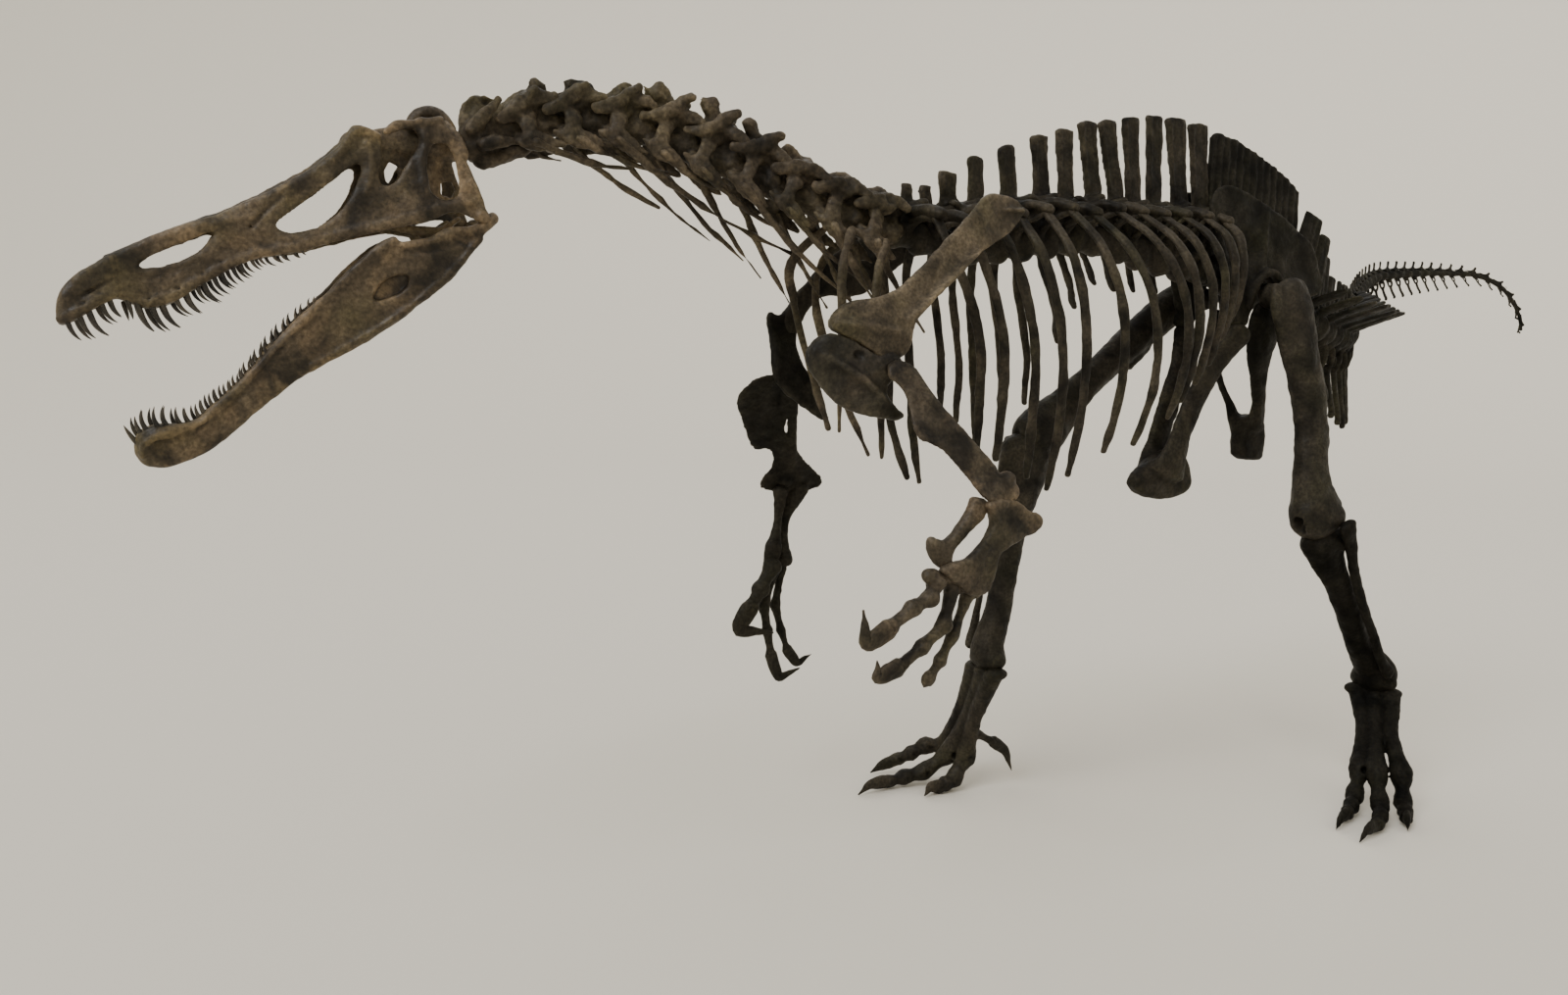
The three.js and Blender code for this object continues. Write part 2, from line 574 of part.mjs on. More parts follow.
// Shoulder blade with coracoid, as one plate whose front curves in towards the breast
function makeScapulocoracoid(side) {
  const outline = [
    [-1635, 2405], [-1535, 2425], [-1478, 2390], [-1475, 2325], [-1555, 2258], [-1715, 2165], [-1855, 2062],
    [-1975, 1975], [-1990, 1925], [-2030, 1862], [-2078, 1815], [-2095, 1770], [-2070, 1732], [-2012, 1705],
    [-2025, 1678], [-2130, 1668], [-2235, 1692], [-2315, 1738], [-2370, 1790], [-2398, 1850], [-2390, 1908],
    [-2335, 1942], [-2292, 1965], [-2288, 2002], [-2240, 2036], [-2115, 2052], [-1985, 2125], [-1855, 2228],
    [-1740, 2338],
  ];
  return plate(outline, (x, z, depth) => {
    const lean = SHOULDER_LEAN[side] * Math.max(0, z - 1950);
    const curl = SHOULDER_CURL[side] * Math.max(0, -2120 - x);
    const across = 332 - lean - curl + 22 * depth;
    return mirrored(side, [x + SHOULDER_SHIFT[side], across, z]);
  });
}

function makeHumerus(side) {
  const along = (t) => mix(HUMERUS_HEAD[side], ELBOW[side], t);
  const bone = shaft(
    [along(0), along(0.1), along(0.3), along(0.52), along(0.8), along(0.94), along(0.985)],
    [[40, 60], [42, 66], [34, 52], [30, 38], [38, 50], [46, 84], [38, 74]],
    [1, 0, 0.3],
  );
  const crest = shaft(
    [along(0.06), plus(along(0.3), HUMERUS_CREST[side]), along(0.52)],
    [[14, 24], [18, 62], [12, 16]],
    [1, 0, 1],
    4,
  );
  return joined([bone, crest]);
}

function makeUlna(side) {
  return shaft(ULNA_ROUTE[side], [[34, 28], [44, 30], [26, 22], [32, 24]], [0, 1, 0]);
}

function makeRadius(side) {
  return shaft(RADIUS_ROUTE[side], [[30, 24], [19, 17], [20, 17], [32, 24]], [0, 1, 0]);
}

// A toe or finger as one bar: its first long bone is thinnest in the middle, and it ends in a claw
function beadedBar(joints, sizes, claw, up, sides) {
  const waist = Math.min(sizes[0], sizes[1]) * 0.68;
  const path = [joints[0], mix(joints[0], joints[1], 0.5), ...joints.slice(1), ...claw.path];
  const [first, ...rest] = sizes.map((size) => [size, size]);
  return shaft(path, [first, [waist, waist], ...rest, ...claw.sizes], up, sides);
}

function clawEnd(root, bend, tip, size) {
  return {
    path: [mix(root, bend, 0.7), mix(bend, tip, 0.45), tip],
    sizes: [[size * 0.5, size * 0.95], [size * 0.36, size * 0.56], [size * 0.16, size * 0.3]],
  };
}

function makeHand(side) {
  const up = [0, 1, 0];
  const wristBlock = shaft(
    [plus(WRIST[side], [-66, 0, -50]), plus(WRIST[side], [22, 0, -64])],
    [[26, 22], [26, 22]],
    up,
    4,
  );
  const fingers = FINGERS[side].map(({ joints, bend, tip, size }) => {
    const end = clawEnd(joints[joints.length - 1], bend, tip, size);
    return beadedBar(joints, joints.map((_, k) => size * (1 - 0.05 * k)), end, up, 4);
  });
  return joined([wristBlock, ...fingers]);
}

function makeFemur(side) {
  const knee = KNEE[side];
  const top = mirrored(side, [10, HIP_WIDTH, 2238]);
  const along = (t) => mix(top, knee, t);
  const bow = side === 'L' ? [-22, 0, 0] : [0, 0, 22];
  const bone = shaft(
    [
      along(0), along(0.07), plus(along(0.25), bow), plus(along(0.55), bow), along(0.82), along(0.93),
      along(0.975),
    ],
    [[46, 78], [52, 96], [58, 76], [58, 66], [72, 82], [92, 112], [84, 100]],
    [1, 0, 0.2],
  );
  const socket = mirrored(side, ACETABULUM);
  const head = shaft([mix(along(0.035), socket, 0.1), socket], [[44, 46], [46, 48]]);
  const lesser = shaft(
    [plus(along(0.02), [-62, 0, 0]), plus(along(0.14), [-72, 0, 0]), plus(along(0.24), [-40, 0, 0])],
    [[20, 22], [22, 26], [14, 14]],
    [1, 0, 0],
    4,
  );
  return joined([bone, head, lesser]);
}

function makeTibia(side) {
  const [knee, ankle] = [KNEE[side], ANKLE[side]];
  const along = (t) => mix(knee, ankle, t);
  const bone = shaft(
    [
      along(0.05), along(0.12), along(0.28), along(0.55), along(0.82), plus(ankle, [0, 0, 78]),
      plus(ankle, [0, 0, 14]),
    ],
    [[82, 110], [76, 96], [54, 62], [48, 54], [62, 52], [92, 58], [98, 62]],
    [1, 0, 0.2],
  );
  const crest = shaft(
    [plus(along(0.05), [-88, 0, 0]), plus(along(0.14), [-84, 0, 0]), plus(along(0.3), [-40, 0, 0])],
    [[22, 34], [22, 36], [14, 18]],
    [1, 0, 0],
    4,
  );
  return joined([bone, crest]);
}

function makeFibula(side) {
  const sign = SIDE_SIGN[side];
  const start = plus(mix(KNEE[side], ANKLE[side], -0.005), [30, sign * 128, 0]);
  const end = plus(mix(KNEE[side], ANKLE[side], 0.93), [-6, sign * 122, 0]);
  return shaft(
    [start, mix(start, end, 0.12), mix(start, end, 0.45), mix(start, end, 0.85), end],
    [[22, 58], [20, 42], [15, 20], [15, 18], [20, 28]],
    [1, 0, 0],
  );
}

function makeFoot(side) {
  const [ankle, root] = [ANKLE[side], TOE_ROOT[side]];
  const heading = vec(TOE_TIPS[side][1]).sub(vec(root)).setZ(0).normalize();
  const outward = new THREE.Vector3(heading.y, -heading.x, 0);
  if (outward.y * SIDE_SIGN[side] < 0) outward.negate();
  const shifted = (p, amount) => plus(p, [outward.x * amount, outward.y * amount, 0]);
  const start = mix(ankle, root, 0.1);
  const pieces = [shaft([shifted(start, -88), shifted(start, 88)], [[44, 32], [44, 32]], [0, 0, 1], 4)];
  TOE_TIPS[side].forEach((tip, toe) => {
    const spread = toe - 1;
    const knuckle = shifted(root, spread * TOE_SPACING.root);
    const atHeight = (share, height) => [...mix(knuckle, tip, share).slice(0, 2), height];
    const bends = TOE_JOINTS.map(([share, height]) => atHeight(share, height));
    const joints = [shifted(start, spread * TOE_SPACING.ankle), knuckle, ...bends];
    const end = clawEnd(bends[1], atHeight(0.86, 52), tip, 27);
    pieces.push(beadedBar(joints, TOE_SIZES, end, [0, 0, 1], 4));
  });
  const inner = shifted(mix(ankle, root, 0.78), -62);
  const firstTip = FIRST_TOE_TIP[side];
  const firstBend = plus(mix(inner, firstTip, 0.85), [0, 0, 24]);
  const firstEnd = clawEnd(mix(inner, firstTip, 0.5), firstBend, firstTip, 19);
  const firstPath = [inner, mix(inner, firstTip, 0.5), ...firstEnd.path];
  pieces.push(shaft(firstPath, [[20, 20], [17, 18], ...firstEnd.sizes], [0, 0, 1], 4));
  // The soles are flat where they bear on the floor
  const floor = new THREE.BoxGeometry(4 * FLOOR_CUT, 4 * FLOOR_CUT, FLOOR_CUT);
  floor.translate(root[0], root[1], -FLOOR_CUT / 2);
  return joined(pieces).subtract(solidOf(floor));
}

// Building the skeleton from head to tail
addNode('skull', makeSkull(), 'headBone');
addNode('lower_jaw', makeJaw(), 'headBone');

const neckCurve = curveThrough(NECK_ROUTE);
const neckHalf = neckCurve.getLength() / NECK_COUNT / 2;
for (let number = 2; number <= NECK_COUNT; number += 1) {
  const at = number === 2 ? 1 / NECK_COUNT : (number - 0.5) / NECK_COUNT;
  const half = number === 2 ? neckHalf * 2 - DISC_GAP : neckHalf - DISC_GAP / 2;
  const name = number === 2 ? 'cervical_1_2' : `cervical_${number}`;
  addNode(name, neckVertebra(number, half), 'headBone', vertebraFrame(neckCurve, at));
}

const backCurve = curveThrough(BACK_ROUTE);
const backHalf = backCurve.getLength() / BACK_COUNT / 2 - DISC_GAP / 2;
for (let number = 1; number <= BACK_COUNT; number += 1) {
  const frame = vertebraFrame(backCurve, (number - 0.5) / BACK_COUNT);
  addNode(`dorsal_${number}`, backVertebra(number, frame, backHalf), 'bodyBone', frame);
}

addNode('sacrum', makeSacrum(), 'darkBone');
addNode('pubes', makePubes(), 'darkBone');
addNode('ischia', makeIschia(), 'darkBone');

const tailCurve = curveThrough(TAIL_ROUTE);
for (let section = 0; section < TAIL_SECTIONS; section += 1) {
  addNode(`tail_${section + 1}`, makeTailSection(section, tailCurve), 'darkBone');
}

for (const side of SIDES) {
  const name = SIDE_NAME[side];
  addNode(`ilium_${name}`, makeIlium(side), 'darkBone');
  addNode(`shoulder_blade_${name}`, makeScapulocoracoid(side), 'headBone');
  addNode(`humerus_${name}`, makeHumerus(side), 'bodyBone');
  addNode(`ulna_${name}`, makeUlna(side), 'bodyBone');
  addNode(`radius_${name}`, makeRadius(side), 'bodyBone');
  addNode(`hand_${name}`, makeHand(side), 'bodyBone');
  addNode(`femur_${name}`, makeFemur(side), 'darkBone');
  addNode(`tibia_${name}`, makeTibia(side), 'darkBone');
  addNode(`fibula_${name}`, makeFibula(side), 'darkBone');
  addNode(`foot_${name}`, makeFoot(side), 'darkBone');
}

// The origin goes to the middle of the footprint, on the floor
const bounds = new THREE.Box3().setFromObject(skeleton);
const middle = bounds.getCenter(new THREE.Vector3());
skeleton.position.set(-middle.x, -middle.y, -bounds.min.z);

export default skeleton;
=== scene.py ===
import math

import bpy
import numpy as np
from mathutils import Matrix, Vector


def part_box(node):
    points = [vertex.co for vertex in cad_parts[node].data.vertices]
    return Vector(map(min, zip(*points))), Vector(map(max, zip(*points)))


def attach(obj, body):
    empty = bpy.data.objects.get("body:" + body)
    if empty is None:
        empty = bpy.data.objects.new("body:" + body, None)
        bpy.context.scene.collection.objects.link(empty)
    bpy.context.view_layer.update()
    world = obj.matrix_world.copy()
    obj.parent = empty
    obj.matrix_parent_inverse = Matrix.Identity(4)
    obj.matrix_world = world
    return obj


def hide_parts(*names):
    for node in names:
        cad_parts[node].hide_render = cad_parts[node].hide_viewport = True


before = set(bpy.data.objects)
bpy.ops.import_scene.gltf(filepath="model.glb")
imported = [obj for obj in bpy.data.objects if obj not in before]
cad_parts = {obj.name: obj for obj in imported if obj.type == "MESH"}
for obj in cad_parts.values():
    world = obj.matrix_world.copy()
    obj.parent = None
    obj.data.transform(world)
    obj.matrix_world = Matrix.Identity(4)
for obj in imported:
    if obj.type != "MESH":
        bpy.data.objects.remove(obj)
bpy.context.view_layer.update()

# Shapes are given in millimetres from the middle of the hips, on the floor: x runs back to the tail,
# y to the animal's right and z up. ORIGIN is where that point lies in the frame.
MM = 0.001
SACRUM_FRONT = -237.5
sacrum_low, sacrum_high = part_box("sacrum")
ORIGIN = np.array([
    sacrum_low[0] / MM - SACRUM_FRONT,
    (sacrum_low[1] + sacrum_high[1]) / 2 / MM,
    0.0,
])

# Camera: its place, the direction it looks in, its roll to the right, and its lens
EYE = (-4300, -3444, 1760)
LOOK = (0.5098, 0.8552, -0.0939)
ROLL = 0.033
LENS = 26.8
SENSOR = 36

# Backbone: places of the vertebra centres, from the head to the tip of the tail
NECK_ROUTE = [
    (-3262, 350, 2484), (-3140, 342, 2545), (-3027, 325, 2584), (-2872, 292, 2608), (-2715, 250, 2603),
    (-2557, 200, 2564), (-2400, 140, 2507), (-2237, 85, 2442), (-2066, 35, 2381), (-1845, 0, 2325),
]
BACK_ROUTE = [
    (-1845, 0, 2325), (-1700, 0, 2300), (-1474, 0, 2293), (-1187, 0, 2340), (-891, 0, 2380),
    (-600, 0, 2352), (-233, 0, 2312),
]
TAIL_ROUTE = [
    (390, 0, 2170), (660, 30, 2110), (1110, 200, 2105), (1765, 620, 2330), (2405, 925, 2530),
    (2940, 1000, 2608), (3358, 1002, 2642), (3600, 950, 2638), (3770, 880, 2560), (3866, 828, 2420),
    (3901, 811, 2299),
]
NECK_COUNT = 10
BACK_COUNT = 13
TAIL_SECTIONS = 13
TAIL_PER_SECTION = 3
TAIL_COUNT = TAIL_SECTIONS * TAIL_PER_SECTION

# Ribs: how far each reaches out, how far back it sweeps and ends, and how high its end lies
RIB_REACH = [215, 247, 277, 304, 326, 355, 374, 381, 370, 350, 325, 290, 245]
RIB_SWEEP = {
    "left": [215, 172, 168, 152, 115, 158, 190, 222, 165, 130, 100, 70, 40],
    "right": [115, 118, 150, 140, 115, 158, 190, 222, 165, 130, 100, 70, 40],
}

RIB_END_SWEEP = {
    "left": [235, 180, 184, 140, 104, 132, 146, 195, 150, 120, 90, 60, 30],
    "right": [195, 148, 132, 105, 104, 132, 146, 195, 150, 120, 90, 60, 30],
}

RIB_END_HEIGHT = {
    "left": [1561, 1527, 1460, 1417, 1473, 1559, 1589, 1690, 1760, 1830, 1910, 2010, 2090],
    "right": [1429, 1409, 1705, 1648, 1560, 1640, 1730, 1992, 2145, 2250, 2230, 2230, 2230],
}

# Neck crests: lean, top and half width of each; then the height of each rear knob
NECK_CREST = [
    (10, 148, 60), (28, 146, 34), (0, 132, 50), (-14, 128, 42), (-62, 158, 44), (-18, 188, 33),
    (-22, 172, 24), (-50, 140, 40), (-60, 102, 36), (-54, 84, 32),
]

NECK_KNOB = [86, 96, 104, 114, 134, 146, 134, 94, 70, 60]

# How far back and down each neck rib ends from its root
NECK_RIBS = {
    "left": [
        (90, 20), (330, 44), (330, 74), (640, 300), (210, 95), (270, 160), (420, 330), (270, 200),
        (225, 290), (205, 285),
    ],
    "right": [
        (60, 14), (90, 20), (300, 165), (345, 265), (325, 300), (235, 315), (200, 345), (200, 300),
        (190, 280), (180, 270),
    ],
}

# Spines of the back: x and z of the foot and of the top, then half widths at foot, waist and top
BACK_SPINES = [
    (-1780, 2453, -1782, 2501, 28, 19, 22), (-1692, 2446, -1699, 2504, 34, 26, 28),
    (-1595, 2481, -1600, 2561, 46, 44, 46), (-1467, 2495, -1476, 2636, 44, 40, 42),
    (-1307, 2523, -1333, 2693, 48, 40, 43), (-1145, 2542, -1170, 2751, 52, 43, 48),
    (-1017, 2537, -1042, 2794, 51, 42, 49), (-872, 2564, -926, 2840, 50, 42, 58),
    (-748, 2567, -821, 2859, 54, 41, 57), (-648, 2570, -692, 2889, 54, 44, 52),
    (-530, 2579, -554, 2913, 52, 45, 53), (-378, 2587, -433, 2922, 62, 53, 66),
    (-251, 2581, -296, 2918, 62, 58, 66),
]

# Tail profiles by vertebra number
TAIL_RADIUS = ([0, 6, 14, 24, 39], [76, 66, 50, 32, 10])
TAIL_SPINE = (
    [0, 1, 2, 3, 4, 6, 8, 10, 14, 22, 30, 39],
    [490, 436, 358, 284, 268, 258, 215, 180, 130, 100, 70, 26],
)
TAIL_WING = ([0, 3, 6, 9, 13, 16, 39], [215, 252, 258, 205, 120, 20, 0])
TAIL_CHEVRON = (
    [0, 1, 2, 3, 5, 7, 8, 9, 10, 12, 15, 22, 29, 34, 39],
    [0, 200, 300, 370, 430, 445, 430, 395, 340, 260, 205, 155, 108, 52, 0],
)

# Limb joints, left and right
SIDES = {"left": -1, "right": 1}
ACETABULUM = (20, 165, 2215)
KNEE = {"left": (225, -340, 1215), "right": (-835, 340, 1560)}
ANKLE = {"left": (800, -285, 455), "right": (-985, 360, 580)}
TOE_ROOT = {"left": (530, -505, 168), "right": (-975, 560, 148)}
HUMERUS_HEAD = {"left": (-2052, -390, 1830), "right": (-1985, 393, 1815)}
ELBOW = {"left": (-1740, -552, 1462), "right": (-1809, 690, 1377)}

# Skull and jaw: hinge place and pitch; outlines are given forward of the hinge and above its line
JAW_HINGE = (-3187, 350, 2261)
SKULL_PITCH = 17
JAW_PITCH = 36

# Directions for the height of a bar
ACROSS = (0, 1, 0)
BACKWARD = (1, 0, 0)

# Grid step of each kind of bone in millimetres
GRID = {
    "skull": 6.3, "jaw": 6.3, "neck": 6.5, "atlas": 6.8, "back": 8.5, "sacrum": 9, "ilium": 9.5,
    "pubes": 9.5, "ischia": 9.5, "shoulder": 8.5, "coracoid": 8.5, "humerus": 7.5, "hand": 6,
    "femur": 10.5, "tibia": 10.5, "fibula": 8.5, "foot": 8, "forearm": 6.5,
}

# Bumps of each kind of bone, from coarse to fine: their size and depth in millimetres
ROUGH = {
    "skull": [(90, 2.6), (34, 2.2), (14, 1.3)],
    "jaw": [(90, 2.4), (34, 2.0), (14, 1.2)],
    "sacrum": [(80, 3), (30, 2.4), (13, 1.2)],
    "ilium": [(80, 3.4), (30, 2.4), (13, 1.2)],
    "pubis": [(70, 3.4), (26, 2.4), (12, 1)],
    "ischium": [(70, 3.4), (26, 2.4), (12, 1)],
    "shoulder": [(80, 3.2), (28, 2), (12, 0.9)],
    "coracoid": [(70, 4.2), (26, 3.2), (12, 1.6)],
    "upper_arm": [(50, 3), (20, 2.2), (10, 0.9)],
    "thigh": [(90, 4), (32, 3), (15, 1.4)],
    "shin": [(90, 3.6), (32, 2.8), (15, 1.4)],
    "splint": [(50, 2.6), (20, 1.8)],
    "neck": [(60, 6), (26, 5.5), (12, 2.6)],
    "back": [(60, 3.4), (22, 2.2), (10, 0.9)],
    "forearm": [(36, 2.4), (16, 1.8), (9, 0.8)],
    "hand": [(26, 2.4), (12, 1.4)],
    "foot": [(34, 2.6), (14, 1.6)],
}


# Curves and noise

def spline(rows, per=5):
    """A smooth curve through the rows, with so many steps from each row to the next."""
    rows = np.array(rows, float)
    padded = np.vstack([2 * rows[0] - rows[1], rows, 2 * rows[-1] - rows[-2]])
    t = np.linspace(0, 1, per, endpoint=False)[:, None]
    pieces = []
    for a, b, c, d in zip(padded[:-3], padded[1:-2], padded[2:-1], padded[3:]):
        bend = (2 * a - 5 * b + 4 * c - d) * t ** 2 + (3 * b - a - 3 * c + d) * t ** 3
        pieces.append(0.5 * (2 * b + (c - a) * t + bend))
    return np.vstack(pieces + [rows[-1:]])


def mix(a, b, share):
    return np.array(a, float) * (1 - share) + np.array(b, float) * share


def mirrored(side, point):
    return (point[0], point[1] * SIDES[side], *point[2:])


def rounded(outline, times=2):
    """A closed outline with its corners cut again and again until it is round."""
    points = np.array(outline, float)
    for _ in range(times):
        after = np.roll(points, -1, axis=0)
        points = np.stack([points * 0.75 + after * 0.25, points * 0.25 + after * 0.75], 1).reshape(-1, 2)
    return points


LATTICE_SIZE = 32
LATTICE = np.random.default_rng(11).random((LATTICE_SIZE,) * 3) * 2 - 1


def noise(points, size):
    """Smooth noise from -1 to 1 with lumps of about that size."""
    q = points / size
    cell = np.floor(q).astype(int)
    f = q - cell
    f = f * f * (3 - 2 * f)
    total = np.zeros(len(points))
    for i in (0, 1):
        for j in (0, 1):
            for k in (0, 1):
                weight = abs(1 - i - f[:, 0]) * abs(1 - j - f[:, 1]) * abs(1 - k - f[:, 2])
                corner = (cell + (i, j, k)) % LATTICE_SIZE
                total += weight * LATTICE[corner[:, 0], corner[:, 1], corner[:, 2]]
    return total


# Distance fields: a form is added to or cut from clay on a grid, and the clay's skin becomes a mesh

FAR = 1e3


def blend_min(a, b, width):
    share = np.clip(0.5 + 0.5 * (b - a) / width, 0, 1)
    return b + (a - b) * share - width * share * (1 - share)


def blend_max(a, b, width):
    return -blend_min(-a, -b, width)


def outline_distance(u, v, outline):
    """Distance to a closed outline, below zero inside it."""
    nearest = np.full(np.broadcast(u, v).shape, FAR * FAR)
    inside = np.zeros(nearest.shape, bool)
    for (u0, v0), (u1, v1) in zip(outline, np.roll(outline, -1, axis=0)):
        du, dv = u1 - u0, v1 - v0
        t = np.clip(((u - u0) * du + (v - v0) * dv) / (du * du + dv * dv + 1e-9), 0, 1)
        nearest = np.minimum(nearest, (u - u0 - t * du) ** 2 + (v - v0 - t * dv) ** 2)
        if v0 != v1:
            inside ^= ((v0 > v) != (v1 > v)) & (u < du * (v - v0) / (v1 - v0) + u0)
    return np.where(inside, -1, 1) * np.sqrt(nearest)


class Clay:
    def __init__(self, low, high, step):
        self.step = step
        self.low = np.array(low, float) - 3 * step
        self.shape = np.ceil((np.array(high) + 3 * step - self.low) / step).astype(int) + 1
        self.field = np.full(self.shape, FAR, np.float32)

    def window(self, low, high):
        start = np.clip(np.floor((low - self.low) / self.step).astype(int), 0, self.shape - 1)
        stop = np.clip(np.ceil((high - self.low) / self.step).astype(int) + 1, start + 1, self.shape)
        where = tuple(slice(a, b) for a, b in zip(start, stop))
        axes = [self.low[k] + self.step * np.arange(start[k], stop[k]) for k in range(3)]
        return where, np.meshgrid(*axes, indexing="ij", sparse=True)

    def apply(self, where, distance, blend, cut):
        old = self.field[where]
        self.field[where] = blend_max(old, -distance, blend) if cut else blend_min(old, distance, blend)

    def limb(self, rows, up=(0, 0, 1), blend=8, per=4, cut=False):
        """A round-ended form along rows of x, y, z, half width across and half height towards up."""
        rows = np.array([tuple(row) + (row[3],) if len(row) == 4 else tuple(row) for row in rows], float)
        if len(rows) > 2:
            rows = spline(rows, per)
        rows[:, 3:] = np.maximum(rows[:, 3:], 1.0)
        reach = rows[:, 3:].max() + blend + 2 * self.step
        whole, _ = self.window(rows[:, :3].min(0) - reach, rows[:, :3].max(0) + reach)
        nearest = np.full(self.field[whole].shape, FAR, np.float32)
        origin = np.array([w.start for w in whole])
        for a, b in zip(rows[:-1], rows[1:]):
            near = max(a[3:].max(), b[3:].max()) + blend + 2 * self.step
            where, grid = self.window(np.minimum(a, b)[:3] - near, np.maximum(a, b)[:3] + near)
            inner = tuple(slice(w.start - o, w.stop - o) for w, o in zip(where, origin))
            nearest[inner] = np.minimum(nearest[inner], self.stretch(grid, a, b, up))
        self.apply(whole, nearest, blend, cut)

    @staticmethod
    def stretch(grid, a, b, up):
        along = b[:3] - a[:3]
        length = np.linalg.norm(along) + 1e-6
        along = along / length
        across = np.cross(along, up)
        across = across / (np.linalg.norm(across) + 1e-9)
        rise = np.cross(across, along)
        rel = [grid[k] - a[k] for k in range(3)]
        run = rel[0] * along[0] + rel[1] * along[1] + rel[2] * along[2]
        t = np.clip(run / length, 0, 1)
        u = rel[0] * across[0] + rel[1] * across[1] + rel[2] * across[2]
        v = rel[0] * rise[0] + rel[1] * rise[1] + rel[2] * rise[2]
        past = run - t * length
        w = a[3] + (b[3] - a[3]) * t
        h = a[4] + (b[4] - a[4]) * t
        m = np.minimum(w, h)
        q = np.sqrt((u / w) ** 2 + (v / h) ** 2 + (past / m) ** 2) + 1e-6
        slope = np.sqrt((u / w ** 2) ** 2 + (v / h ** 2) ** 2 + (past / m ** 2) ** 2) + 1e-9
        return q * (q - 1) / slope

    def ball(self, centre, sizes, blend=8, cut=False):
        """A form with three half sizes along the grid's axes."""
        centre, sizes = np.array(centre, float), np.array(sizes, float)
        reach = sizes + blend + 2 * self.step
        where, grid = self.window(centre - reach, centre + reach)
        rel = [(grid[k] - centre[k]) / sizes[k] for k in range(3)]
        q = np.sqrt(rel[0] ** 2 + rel[1] ** 2 + rel[2] ** 2) + 1e-6
        slope = np.sqrt(sum((rel[k] / sizes[k]) ** 2 for k in range(3))) + 1e-9
        self.apply(where, q * (q - 1) / slope, blend, cut)

    def slab(self, outline, middle, half, flat=(0, 2), holes=(), blend=8, edge=10, cut=False):
        """A plate over an outline in two axes; middle and half give its centre and half thickness."""
        outline = np.array(outline, float)
        across = 3 - flat[0] - flat[1]
        low, high = self.low.copy(), self.low + self.step * self.shape
        margin = blend + edge + 2 * self.step
        for k, axis in enumerate(flat):
            low[axis] = outline[:, k].min() - margin
            high[axis] = outline[:, k].max() + margin
        where, grid = self.window(low, high)
        u, v = grid[flat[0]], grid[flat[1]]
        distance = outline_distance(u, v, outline)
        for hole in holes:
            distance = blend_max(distance, -outline_distance(u, v, np.array(hole, float)), edge)
        side = np.abs(grid[across] - middle(u, v)) - half(u, v)
        self.apply(where, blend_max(distance, side, edge), blend, cut)

    def skin(self, matrix=None):
        """Points and quads of the surface where the field is zero."""
        field = self.field
        inside = field < 0
        cells = tuple(n - 1 for n in field.shape)
        corners = [(i, j, k) for i in (0, 1) for j in (0, 1) for k in (0, 1)]
        count = np.zeros(cells, np.int8)
        for i, j, k in corners:
            count += inside[i:i + cells[0], j:j + cells[1], k:k + cells[2]]
        active = (count > 0) & (count < 8)
        index = np.argwhere(active)
        number = np.full(cells, -1, np.int32)
        number[active] = np.arange(len(index))
        values = np.stack(
            [field[index[:, 0] + i, index[:, 1] + j, index[:, 2] + k] for i, j, k in corners], 1
        )
        total = np.zeros((len(index), 3))
        hits = np.zeros(len(index))
        for a, first in enumerate(corners):
            for b in range(a + 1, 8):
                step = np.subtract(corners[b], first)
                if np.abs(step).sum() != 1:
                    continue
                va, vb = values[:, a], values[:, b]
                crossed = (va < 0) != (vb < 0)
                t = np.where(crossed, va / np.where(crossed, va - vb, 1), 0)
                total += crossed[:, None] * (np.array(first) + t[:, None] * step)
                hits += crossed
        points = self.low + self.step * (index + total / hits[:, None])
        quads = []
        for axis in range(3):
            one, two = np.eye(3, dtype=int)[(axis + 1) % 3], np.eye(3, dtype=int)[(axis + 2) % 3]
            near = [slice(1, -1)] * 3
            far = [slice(1, -1)] * 3
            near[axis], far[axis] = slice(0, -1), slice(1, None)
            edge = inside[tuple(near)] != inside[tuple(far)]
            base = np.argwhere(edge) + np.array([0 if k == axis else 1 for k in range(3)])
            out = inside[tuple(base.T)]
            around = [base - one - two, base - two, base, base - one]
            ring = np.stack([number[tuple(q.T)] for q in around], 1)
            quads.append(np.where(out[:, None], ring, ring[:, ::-1]))
        if matrix is not None:
            points = points @ np.array(matrix)[:3, :3].T + np.array(matrix)[:3, 3]
        return points, np.vstack(quads)


